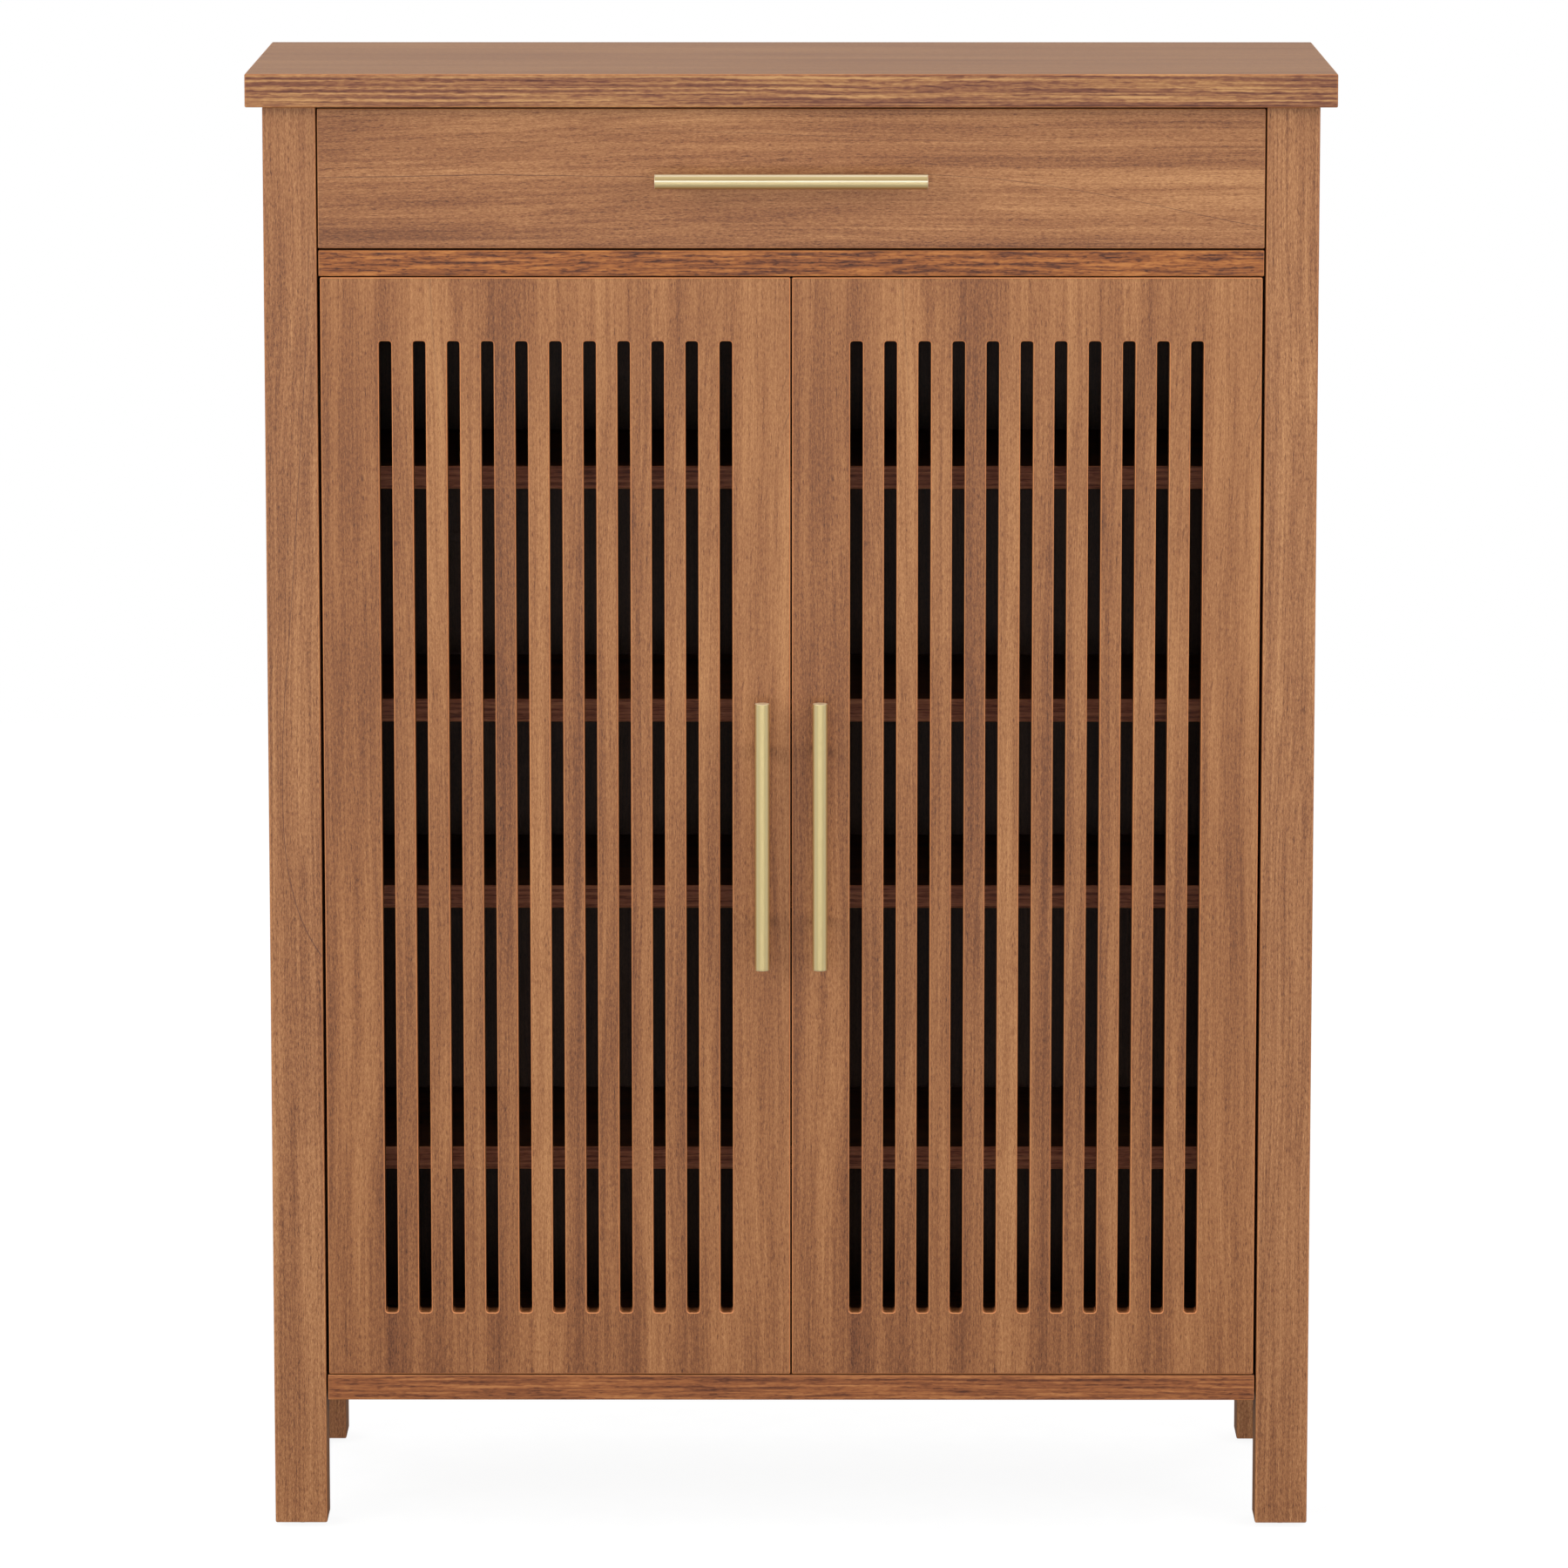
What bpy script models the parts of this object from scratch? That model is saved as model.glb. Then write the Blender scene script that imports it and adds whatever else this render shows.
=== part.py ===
"""Shoe cabinet: four square posts, slotted inset doors on concealed hinges, one drawer on slides.

Metres, +Z up, the front faces -Y. The origin is on the floor, at the centre of the box that holds
the whole object, handles included. "Across" is measured from a post's inner face towards the
middle, and "behind" from the plane of the door faces towards the wall.
"""
import math

import bmesh
import bpy
from mathutils import Matrix, Vector

# Overall size
WIDTH = 0.800
DEPTH = 0.330
HEIGHT = 1.094
TOP_THICK = 0.0245
SIDE_OVERHANG = 0.012
FRONT_OVERHANG = 0.0125
BACK_OVERHANG = 0.008

# Boards
GAP = 0.0003
BOARD = 0.019
SHELF = 0.0175
DOOR_THICK = 0.018
BACK_THICK = 0.004
EDGE_ROUND = 0.0008
TOP_EDGE_ROUND = 0.001
POST = 0.039
POST_EDGE_ROUND = 0.0012
GLIDE_SHOWING = 0.003
GLIDE_TOP_RADIUS = 0.010
GLIDE_FOOT_RADIUS = 0.0056
GLIDE_EDGE_ROUND = 0.0004
SIDE_PROUD = 0.001
BOTTOM_UNDERSIDE = 0.098
DIVIDER_UNDERSIDE = 0.9445
BACK_INSET = 0.0155
SHELF_TOPS = (0.280, 0.480, 0.6215, 0.797)
SHELF_SETBACK = 0.060
SHELF_END_PLAY = 0.001
RAIL_HEIGHT = 0.060
RAIL_THICK = 0.015

# Doors
DOOR_SIDE_PLAY = 0.0024
DOOR_HALF_MEETING_GAP = 0.0007
DOOR_EDGE_PLAY = 0.001
DOOR_CORNER = 0.0012
SLOT_COUNT = 11
SLOT_WIDTH = 0.0095
SLOT_PITCH = 0.0251
SLOT_LENGTH = 0.7316
SLOT_CORNER = 0.0022
SLOT_EDGE_ROUND = 0.0006

# Handles: a straight bar on two round stand-offs
BAR_LENGTH = 0.200
BAR_RADIUS = 0.0055
BAR_END_ROUND = 0.0006
BAR_STANDOFF = 0.0265
HANDLE_POST_RADIUS = 0.0035
HANDLE_POST_SPACING = 0.128
DOOR_BAR_FROM_MIDDLE = 0.0214

# Concealed hinges: across and behind, from the post's inner corner
HINGE_FROM_DOOR_END = 0.100
PIN_ACROSS = 0.022
PIN_BEHIND = 0.0085
PIN_RADIUS = 0.0011
PIN_LENGTH = 0.020
EYE_RADIUS = 0.0022
EYE_BORE = 0.0014
CUP_RADIUS = 0.0175
CUP_FROM_DOOR_EDGE = 0.022
CUP_WALL = 0.001
CUP_FLOOR = 0.0007
CUP_HOLLOW_REACH = 0.030
RECESS_REACH = 0.020
FLANGE_THICK = 0.0012
FLANGE_WIDTH = 0.021875
FLANGE_HEIGHT = 0.062
FLANGE_INWARD = 0.006125
EAR_SIZE = 0.0064
EAR_THICK = 0.002
EAR_FROM_MIDDLE = 0.008
ARM_WIDTH = 0.011
ARM_THICK = 0.0024
ARM_STEPS = 3
ARM_BENDS = ((0.0385, 0.0205), (0.0385, 0.0285), (0.0290, 0.0385), (0.0140, 0.0460), (0.0045, 0.0540))
PLATE_SIZE = (0.004, 0.038, 0.050)
PLATE_BEHIND = 0.068

# Magnetic catches
CATCH_SIZE = (0.040, 0.0145, 0.014)
CATCH_FROM_MIDDLE = 0.036
STRIKE_SIZE = (0.036, 0.001, 0.012)
STRIKE_FROM_DOOR_TOP = 0.001

# Drawer
DRAWER_UNDERSIDE = 0.965
DRAWER_TOP_PLAY = 0.0018
DRAWER_SIDE_PLAY = 0.0012
BOX_BOARD = 0.012
BOX_DEPTH = 0.250
BOX_UNDERSIDE = 0.975
BOX_HEIGHT = 0.072
BOX_FLOOR = 0.005
BOX_FLOOR_LIFT = 0.008
BOX_EDGE_ROUND = 0.0005

# Slides: three nested channels, 12.7 mm across each pair
SLIDE_THICK = 0.0127
SLIDE_LENGTH = 0.250
SLIDE_HEIGHT = 0.035
SLIDE_STEEL = 0.0012
SLIDE_PLAY = 0.0008
OUTER_FLANGE_END = 0.0095
MIDDLE_FLANGE_END = 0.0100
SLIDE_CENTRE_ABOVE_BOX = 0.030

# Wall bracket
BRACKET_WIDTH = 0.030
BRACKET_LEG = 0.018
BRACKET_STEEL = 0.002
BRACKET_HOLE = 0.0025
BRACKET_HOLE_BELOW_TOP = 0.0108

# Mesh settings
ROUND_STEPS = 24
SMALL_ROUND_STEPS = 16
PIN_STEPS = 12
CORNER_STEPS = 3
MERGE_DISTANCE = 0.00002
SHARP_ANGLE = math.radians(35)
ROUNDED_ANGLE = math.radians(40)

# Worked out from the above
HANDLE_REACH = BAR_STANDOFF + BAR_RADIUS
FACE_Y = HANDLE_REACH - (DEPTH + HANDLE_REACH - FRONT_OVERHANG) / 2
TOP_FRONT_Y = FACE_Y - FRONT_OVERHANG
TOP_BACK_Y = TOP_FRONT_Y + DEPTH
POSTS_BACK_Y = TOP_BACK_Y - BACK_OVERHANG
TOP_UNDERSIDE = HEIGHT - TOP_THICK
BODY_HALF = WIDTH / 2 - SIDE_OVERHANG
CLEAR_HALF = BODY_HALF - POST
SIDE_INNER = CLEAR_HALF - SIDE_PROUD
BACK_Y = POSTS_BACK_Y - BACK_INSET
DOOR_BOTTOM = BOTTOM_UNDERSIDE + BOARD + DOOR_EDGE_PLAY
DOOR_TOP = DIVIDER_UNDERSIDE - DOOR_EDGE_PLAY
DOOR_OUTER = CLEAR_HALF - DOOR_SIDE_PLAY
DRAWER_TOP = TOP_UNDERSIDE - DRAWER_TOP_PLAY
HINGE_HEIGHTS = {"lower": DOOR_BOTTOM + HINGE_FROM_DOOR_END, "upper": DOOR_TOP - HINGE_FROM_DOOR_END}
SIDES = {"left": -1, "right": 1}

for old in list(bpy.data.objects):
    bpy.data.objects.remove(old, do_unlink=True)


def new_collection(name):
    """A collection linked to the scene."""
    made = bpy.data.collections.new(name)
    bpy.context.scene.collection.children.link(made)
    return made


PARTS = new_collection("shoe_cabinet")
CUTTERS = new_collection("cutters")


def new_material(name, colour, roughness, metallic=0.0):
    """A Principled material with one colour."""
    made = bpy.data.materials.new(name)
    made.use_nodes = True
    shader = made.node_tree.nodes["Principled BSDF"]
    shader.inputs["Base Color"].default_value = (*colour, 1.0)
    shader.inputs["Roughness"].default_value = roughness
    shader.inputs["Metallic"].default_value = metallic
    return made


WALNUT = new_material("walnut_laminate", (0.43, 0.24, 0.14), 0.45)
WALNUT_EDGE = new_material("walnut_edge_band", (0.40, 0.20, 0.10), 0.45)
WALNUT_BACK = new_material("walnut_back_board", (0.30, 0.17, 0.10), 0.60)
DRAWER_BOARD = new_material("drawer_board", (0.36, 0.21, 0.13), 0.55)
BRASS = new_material("satin_brass", (0.72, 0.55, 0.30), 0.30, 1.0)
NICKEL = new_material("nickel_plate", (0.62, 0.62, 0.60), 0.28, 1.0)
ZINC = new_material("zinc_steel", (0.55, 0.56, 0.57), 0.35, 1.0)
BLACK_PLASTIC = new_material("black_plastic", (0.02, 0.02, 0.02), 0.50)
BROWN_PLASTIC = new_material("brown_plastic", (0.12, 0.07, 0.04), 0.45)


def add_object(name, data, place, parent=None, material=None):
    """An object whose place is given in world coordinates, whatever its parent."""
    made = bpy.data.objects.new(name, data)
    PARTS.objects.link(made)
    made.location = Vector(place)
    if parent:
        made.parent = parent
        made.location -= parent.location
    if material:
        data.materials.append(material)
    return made


def joint_empty(name, place):
    """An empty on a joint's axis, which the pieces that move on it have as their parent."""
    return add_object(name, None, place)


def box_mesh(name, size):
    """A cuboid about its own centre."""
    shape = bmesh.new()
    bmesh.ops.create_cube(shape, size=1.0)
    bmesh.ops.scale(shape, vec=size, verts=shape.verts)
    made = bpy.data.meshes.new(name)
    shape.to_mesh(made)
    shape.free()
    return made


def rod_mesh(name, radius, length, along, foot_radius=None, steps=ROUND_STEPS):
    """A round bar about its own centre, or a cone where its foot has another radius."""
    shape = bmesh.new()
    turn = Vector((0, 0, 1)).rotation_difference(Vector(along)).to_matrix()
    bmesh.ops.create_cone(
        shape,
        cap_ends=True,
        segments=steps,
        radius1=radius if foot_radius is None else foot_radius,
        radius2=radius,
        depth=length,
        matrix=turn.to_4x4(),
    )
    made = bpy.data.meshes.new(name)
    shape.to_mesh(made)
    shape.free()
    made.shade_smooth()
    made.set_sharp_from_angle(angle=SHARP_ANGLE)
    return made


def round_edges(piece, width, segments=2):
    """Rounds the edges that turn sharply."""
    bevel = piece.modifiers.new("round_edges", "BEVEL")
    bevel.width = width
    bevel.segments = segments
    bevel.limit_method = "ANGLE"
    bevel.angle_limit = ROUNDED_ANGLE


def board(name, x_span, y_span, z_span, material, parent=None, edge=EDGE_ROUND, segments=2):
    """A board between three pairs of coordinates, with its edges eased."""
    spans = (x_span, y_span, z_span)
    middle = [(low + high) / 2 for low, high in spans]
    size = [high - low for low, high in spans]
    made = add_object(name, box_mesh(name, size), middle, parent, material)
    if edge:
        round_edges(made, edge, segments)
    return made


def rod(name, middle, radius, length, along, material, parent=None, edge=0.0, steps=ROUND_STEPS):
    """A round bar about a point, with its end edges eased."""
    mesh = rod_mesh(name, radius, length, along, steps=steps)
    made = add_object(name, mesh, middle, parent, material)
    if edge:
        round_edges(made, edge)
    return made


def cutter(name, mesh, place):
    """A helper that Booleans use and no render shows."""
    made = bpy.data.objects.new(name, mesh)
    CUTTERS.objects.link(made)
    made.location = Vector(place)
    made.hide_render = True
    made.display_type = "WIRE"
    return made


def combine(piece, operation, other, solver="EXACT"):
    """Adds a Boolean with another object."""
    change = piece.modifiers.new(operation.lower(), "BOOLEAN")
    change.operation = operation
    change.object = other
    change.solver = solver


def outline_curve(name, outlines, extrude, edge=0.0):
    """A filled flat curve from closed outlines in its own XY plane, extruded both ways."""
    data = bpy.data.curves.new(name, "CURVE")
    data.dimensions = "2D"
    data.fill_mode = "BOTH"
    data.extrude = extrude - edge
    data.bevel_depth = edge
    data.bevel_resolution = 0
    data.offset = -edge
    for outline in outlines:
        spline = data.splines.new("POLY")
        spline.points.add(len(outline) - 1)
        for point, (x, y) in zip(spline.points, outline):
            point.co = (x, y, 0.0, 1.0)
        spline.use_cyclic_u = True
    return data


def realised_mesh(name, source):
    """The evaluated mesh of an object, with its doubled points merged; the object is removed."""
    graph = bpy.context.evaluated_depsgraph_get()
    mesh = bpy.data.meshes.new_from_object(source.evaluated_get(graph))
    mesh.name = name
    shape = bmesh.new()
    shape.from_mesh(mesh)
    bmesh.ops.remove_doubles(shape, verts=shape.verts, dist=MERGE_DISTANCE)
    bmesh.ops.recalc_face_normals(shape, faces=shape.faces)
    shape.to_mesh(mesh)
    shape.free()
    mesh.transform(source.matrix_world)
    bpy.data.objects.remove(source, do_unlink=True)
    return mesh


def rounded_rectangle(centre, width, height, radius, steps=CORNER_STEPS):
    """The outline of a rectangle whose corners are arcs, anticlockwise."""
    points = []
    for quarter in range(4):
        turn = math.radians(90 * quarter)
        right = 1 if quarter in (0, 3) else -1
        upper = 1 if quarter in (0, 1) else -1
        corner = (centre[0] + right * (width / 2 - radius), centre[1] + upper * (height / 2 - radius))
        for step in range(steps + 1):
            angle = turn + math.radians(90) * step / steps
            points.append((corner[0] + radius * math.cos(angle), corner[1] + radius * math.sin(angle)))
    return points


def frame_posts():
    """Square posts at the four corners, and the domed glides under them."""
    rows = {"front": FACE_Y + POST / 2, "rear": POSTS_BACK_Y - POST / 2}
    for row, middle_y in rows.items():
        for side, sign in SIDES.items():
            middle_x = sign * (BODY_HALF - POST / 2)
            board(
                f"{row}_post_{side}",
                (middle_x - POST / 2, middle_x + POST / 2),
                (middle_y - POST / 2, middle_y + POST / 2),
                (GLIDE_SHOWING + GAP, TOP_UNDERSIDE - GAP),
                WALNUT,
                edge=POST_EDGE_ROUND,
            )
            name = f"glide_{row}_{side}"
            mesh = rod_mesh(name, GLIDE_TOP_RADIUS, GLIDE_SHOWING, (0, 0, 1), GLIDE_FOOT_RADIUS)
            glide = add_object(name, mesh, (middle_x, middle_y, GLIDE_SHOWING / 2), None, BLACK_PLASTIC)
            round_edges(glide, GLIDE_EDGE_ROUND, 1)


def carcass_boards():
    """The top, the sides between the posts, the boards across them, and the back."""
    board(
        "top_panel",
        (-WIDTH / 2, WIDTH / 2),
        (TOP_FRONT_Y, TOP_BACK_Y),
        (TOP_UNDERSIDE, HEIGHT),
        WALNUT,
        edge=TOP_EDGE_ROUND,
    )
    side_y = (FACE_Y + POST + GAP, POSTS_BACK_Y - POST - GAP)
    for side, sign in SIDES.items():
        faces = sorted((sign * SIDE_INNER, sign * (SIDE_INNER + BOARD)))
        board(f"side_panel_{side}", faces, side_y, (BOTTOM_UNDERSIDE, TOP_UNDERSIDE - GAP), WALNUT)
    end = SIDE_INNER - GAP
    full_depth = (FACE_Y, BACK_Y - GAP)
    low = (BOTTOM_UNDERSIDE, BOTTOM_UNDERSIDE + BOARD)
    board("bottom_board", (-end, end), full_depth, low, WALNUT_EDGE)
    middle = (DIVIDER_UNDERSIDE, DIVIDER_UNDERSIDE + BOARD)
    board("divider_board", (-end, end), full_depth, middle, WALNUT_EDGE)
    rail_y = (BACK_Y - GAP - RAIL_THICK, BACK_Y - GAP)
    rail_z = (TOP_UNDERSIDE - GAP - RAIL_HEIGHT, TOP_UNDERSIDE - GAP)
    board("rear_rail", (-end, end), rail_y, rail_z, WALNUT)
    back_x = CLEAR_HALF - GAP
    back_z = (BOTTOM_UNDERSIDE, TOP_UNDERSIDE - GAP)
    board("back_panel", (-back_x, back_x), (BACK_Y, BACK_Y + BACK_THICK), back_z, WALNUT_BACK, edge=0)


def shelves():
    """Loose shelves, set back behind the doors."""
    end = SIDE_INNER - SHELF_END_PLAY
    depth = (FACE_Y + SHELF_SETBACK, BACK_Y - GAP)
    for number, top in enumerate(SHELF_TOPS, start=1):
        board(f"shelf_{number}", (-end, end), depth, (top - SHELF, top), WALNUT)


def wall_bracket():
    """A steel angle under the top's rear overhang, with a hole for a wall screw."""
    top = TOP_UNDERSIDE - GAP
    back = TOP_BACK_Y
    outline = [
        (back, top),
        (back - BRACKET_LEG, top),
        (back - BRACKET_LEG, top - BRACKET_STEEL),
        (back - BRACKET_STEEL, top - BRACKET_STEEL),
        (back - BRACKET_STEEL, top - BRACKET_LEG),
        (back, top - BRACKET_LEG),
    ]
    data = outline_curve("wall_bracket_outline", [outline], BRACKET_WIDTH / 2)
    source = add_object("wall_bracket_outline", data, (0, 0, 0))
    source.matrix_world = Matrix(((0, 0, 1, 0), (1, 0, 0, 0), (0, 1, 0, 0), (0, 0, 0, 1)))
    bpy.context.view_layer.update()
    mesh = realised_mesh("wall_bracket", source)
    bracket = add_object("wall_bracket", mesh, (0, 0, 0), None, ZINC)
    hole_depth = 4 * BRACKET_STEEL
    hole_mesh = rod_mesh("wall_bracket_hole", BRACKET_HOLE, hole_depth, (0, 1, 0), steps=SMALL_ROUND_STEPS)
    hole_z = top - BRACKET_HOLE_BELOW_TOP
    combine(bracket, "DIFFERENCE", cutter("wall_bracket_hole", hole_mesh, (0, back, hole_z)))


def handle(prefix, middle, along, names, parent):
    """A straight bar in front of a face, and the two stand-offs that hold it."""
    middle = Vector(middle)
    along = Vector(along)
    bar_middle = middle - Vector((0, BAR_STANDOFF, 0))
    rod(f"{prefix}_handle_bar", bar_middle, BAR_RADIUS, BAR_LENGTH, along, BRASS, parent, BAR_END_ROUND)
    reach = BAR_STANDOFF - BAR_RADIUS - 2 * GAP
    for name, sign in zip(names, (-1, 1)):
        foot = middle + along * (sign * HANDLE_POST_SPACING / 2)
        centre = foot - Vector((0, GAP + reach / 2, 0))
        post_name = f"{prefix}_handle_post_{name}"
        rod(
            post_name, centre, HANDLE_POST_RADIUS, reach, (0, 1, 0), BRASS, parent, steps=SMALL_ROUND_STEPS
        )


def slotted_panel(name, sign, middle_x, axis):
    """A door board with a row of upright slots, and a blind round recess for each hinge cup."""
    width = DOOR_OUTER - DOOR_HALF_MEETING_GAP
    height = DOOR_TOP - DOOR_BOTTOM
    outlines = [rounded_rectangle((0, 0), width, height, DOOR_CORNER)]
    first = -(SLOT_COUNT - 1) * SLOT_PITCH / 2
    for number in range(SLOT_COUNT):
        centre = (first + number * SLOT_PITCH, 0)
        outlines.append(rounded_rectangle(centre, SLOT_WIDTH, SLOT_LENGTH, SLOT_CORNER))
    data = outline_curve(f"{name}_outline", outlines, DOOR_THICK / 2, SLOT_EDGE_ROUND)
    source = add_object(f"{name}_outline", data, (0, 0, 0))
    source.rotation_euler = (math.radians(90), 0, 0)
    bpy.context.view_layer.update()
    mesh = realised_mesh(name, source)
    middle = (middle_x, FACE_Y + DOOR_THICK / 2, (DOOR_TOP + DOOR_BOTTOM) / 2)
    panel = add_object(name, mesh, middle, axis, WALNUT)
    floor = FACE_Y + PIN_BEHIND - EYE_RADIUS - GAP - CUP_FLOOR - GAP
    for end, height_z in HINGE_HEIGHTS.items():
        cup_x = sign * (DOOR_OUTER - CUP_FROM_DOOR_EDGE)
        hole = rod_mesh(f"{name}_recess_{end}", CUP_RADIUS + GAP, RECESS_REACH, (0, 1, 0))
        recess = cutter(f"{name}_recess_{end}", hole, (cup_x, floor + RECESS_REACH / 2, height_z))
        # The slots' ends lie on one line, where the exact solver drops thin faces.
        combine(panel, "DIFFERENCE", recess, solver="MANIFOLD")


def hinge_cup(name, sign, height_z, axis):
    """A pressed cup with its flange, and inside it two ears that hold the pin."""
    cup_x = sign * (DOOR_OUTER - CUP_FROM_DOOR_EDGE)
    pin_x = sign * (CLEAR_HALF - PIN_ACROSS)
    pin_y = FACE_Y + PIN_BEHIND
    inner_floor = pin_y - EYE_RADIUS - GAP
    outer_floor = inner_floor - CUP_FLOOR
    flange_front = FACE_Y + DOOR_THICK + GAP
    flange_back = flange_front + FLANGE_THICK
    depth = flange_back - outer_floor
    middle = (cup_x, outer_floor + depth / 2, height_z)
    cup = add_object(name, rod_mesh(name, CUP_RADIUS, depth, (0, 1, 0)), middle, axis, NICKEL)

    flange_size = (FLANGE_WIDTH, FLANGE_THICK, FLANGE_HEIGHT)
    flange_place = (cup_x - sign * FLANGE_INWARD, flange_front + FLANGE_THICK / 2, height_z)
    flange = cutter(f"{name}_flange", box_mesh(f"{name}_flange", flange_size), flange_place)
    combine(cup, "UNION", flange)

    hollow_mesh = rod_mesh(f"{name}_hollow", CUP_RADIUS - CUP_WALL, CUP_HOLLOW_REACH, (0, 1, 0))
    hollow_place = (cup_x, inner_floor + CUP_HOLLOW_REACH / 2, height_z)
    combine(cup, "DIFFERENCE", cutter(f"{name}_hollow", hollow_mesh, hollow_place))

    ear_size = (EAR_SIZE, EAR_SIZE, EAR_THICK)
    ear_y = inner_floor - CUP_FLOOR / 2 + EAR_SIZE / 2
    for number, side in enumerate((-1, 1)):
        ear_name = f"{name}_ear_{number}"
        ear_place = (pin_x, ear_y, height_z + side * EAR_FROM_MIDDLE)
        combine(cup, "UNION", cutter(ear_name, box_mesh(ear_name, ear_size), ear_place))
    bore = rod_mesh(f"{name}_bore", EYE_BORE, PIN_LENGTH, (0, 0, 1), steps=SMALL_ROUND_STEPS)
    combine(cup, "DIFFERENCE", cutter(f"{name}_bore", bore, (pin_x, pin_y, height_z)))


def hinge_arm(name, sign, height_z):
    """A bent steel arm from a plate on the side panel round into the cup, ending in the pin's eye."""
    pin = (PIN_ACROSS, PIN_BEHIND)
    data = bpy.data.curves.new(f"{name}_path", "CURVE")
    data.dimensions = "2D"
    data.fill_mode = "NONE"
    data.extrude = ARM_WIDTH / 2
    data.resolution_u = ARM_STEPS
    spline = data.splines.new("BEZIER")
    bends = (pin, *ARM_BENDS)
    spline.bezier_points.add(len(bends) - 1)
    for point, (across, behind) in zip(spline.bezier_points, bends):
        point.co = (sign * (CLEAR_HALF - across), FACE_Y + behind, 0)
        point.handle_left_type = "AUTO"
        point.handle_right_type = "AUTO"
    source = add_object(f"{name}_path", data, (0, 0, 0))
    bpy.context.view_layer.update()
    mesh = realised_mesh(name, source)
    arm = add_object(name, mesh, (0, 0, height_z), None, NICKEL)
    thicken = arm.modifiers.new("thicken", "SOLIDIFY")
    thicken.thickness = ARM_THICK
    thicken.offset = 0.0

    pin_place = (sign * (CLEAR_HALF - PIN_ACROSS), FACE_Y + PIN_BEHIND, height_z)
    eye = rod_mesh(f"{name}_eye", EYE_RADIUS, ARM_WIDTH, (0, 0, 1), steps=SMALL_ROUND_STEPS)
    combine(arm, "UNION", cutter(f"{name}_eye", eye, pin_place))
    plate_x = sign * (SIDE_INNER - GAP - PLATE_SIZE[0] / 2)
    plate_place = (plate_x, FACE_Y + PLATE_BEHIND, height_z)
    plate = cutter(f"{name}_plate", box_mesh(f"{name}_plate", PLATE_SIZE), plate_place)
    combine(arm, "UNION", plate)
    bore = rod_mesh(f"{name}_bore", EYE_BORE, 2 * ARM_WIDTH, (0, 0, 1), steps=SMALL_ROUND_STEPS)
    combine(arm, "DIFFERENCE", cutter(f"{name}_bore", bore, pin_place))


def doors():
    """Two slotted inset doors, each on two concealed hinges, with a bar handle and a strike plate."""
    for side, sign in SIDES.items():
        pin_x = sign * (CLEAR_HALF - PIN_ACROSS)
        pin_y = FACE_Y + PIN_BEHIND
        axis = joint_empty(f"door_{side}_axis", (pin_x, pin_y, (DOOR_BOTTOM + DOOR_TOP) / 2))
        middle_x = sign * (DOOR_OUTER + DOOR_HALF_MEETING_GAP) / 2
        slotted_panel(f"door_{side}_panel", sign, middle_x, axis)
        for end, height_z in HINGE_HEIGHTS.items():
            hinge_cup(f"door_{side}_hinge_cup_{end}", sign, height_z, axis)
            pin_name = f"door_{side}_hinge_pin_{end}"
            pin_place = (pin_x, pin_y, height_z)
            rod(pin_name, pin_place, PIN_RADIUS, PIN_LENGTH, (0, 0, 1), NICKEL, axis, steps=PIN_STEPS)
            hinge_arm(f"hinge_arm_{side}_{end}", sign, height_z)
        handle_middle = (sign * DOOR_BAR_FROM_MIDDLE, FACE_Y, (DOOR_BOTTOM + DOOR_TOP) / 2)
        handle(f"door_{side}", handle_middle, (0, 0, 1), ("lower", "upper"), axis)
        catch_and_strike(side, sign, axis)


def catch_and_strike(side, sign, axis):
    """A magnetic catch under the divider, and the steel plate on the door that it pulls."""
    middle_x = sign * CATCH_FROM_MIDDLE
    strike_front = FACE_Y + DOOR_THICK + GAP
    strike_top = DOOR_TOP - STRIKE_FROM_DOOR_TOP
    top = DIVIDER_UNDERSIDE - GAP
    board(
        f"door_{side}_strike_plate",
        (middle_x - STRIKE_SIZE[0] / 2, middle_x + STRIKE_SIZE[0] / 2),
        (strike_front, strike_front + STRIKE_SIZE[1]),
        (strike_top - STRIKE_SIZE[2], strike_top),
        ZINC,
        axis,
        edge=0,
    )
    catch_front = strike_front + STRIKE_SIZE[1] + GAP
    board(
        f"magnet_catch_{side}",
        (middle_x - CATCH_SIZE[0] / 2, middle_x + CATCH_SIZE[0] / 2),
        (catch_front, catch_front + CATCH_SIZE[1]),
        (top - CATCH_SIZE[2], top),
        BROWN_PLASTIC,
        segments=1,
    )


def channel_outline(web, open_end, half_height, steel):
    """A C section: its web at one x, its flanges running to another x, centred on z = 0."""
    way = 1 if open_end > web else -1
    return [
        (web, half_height),
        (web, -half_height),
        (open_end, -half_height),
        (open_end, -half_height + steel),
        (web + way * steel, -half_height + steel),
        (web + way * steel, half_height - steel),
        (open_end, half_height - steel),
        (open_end, half_height),
    ]


def channel(name, sign, outline, middle_z, parent=None):
    """A slide member: a C section run along Y behind the drawer front."""
    points = [(sign * (SIDE_INNER - GAP - x), z) for x, z in outline]
    if sign > 0:
        points.reverse()
    data = outline_curve(name, [points], SLIDE_LENGTH / 2)
    middle_y = FACE_Y + DOOR_THICK + GAP + SLIDE_LENGTH / 2
    made = add_object(name, data, (0, middle_y, middle_z), parent, ZINC)
    made.rotation_euler = (math.radians(90), 0, 0)


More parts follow.
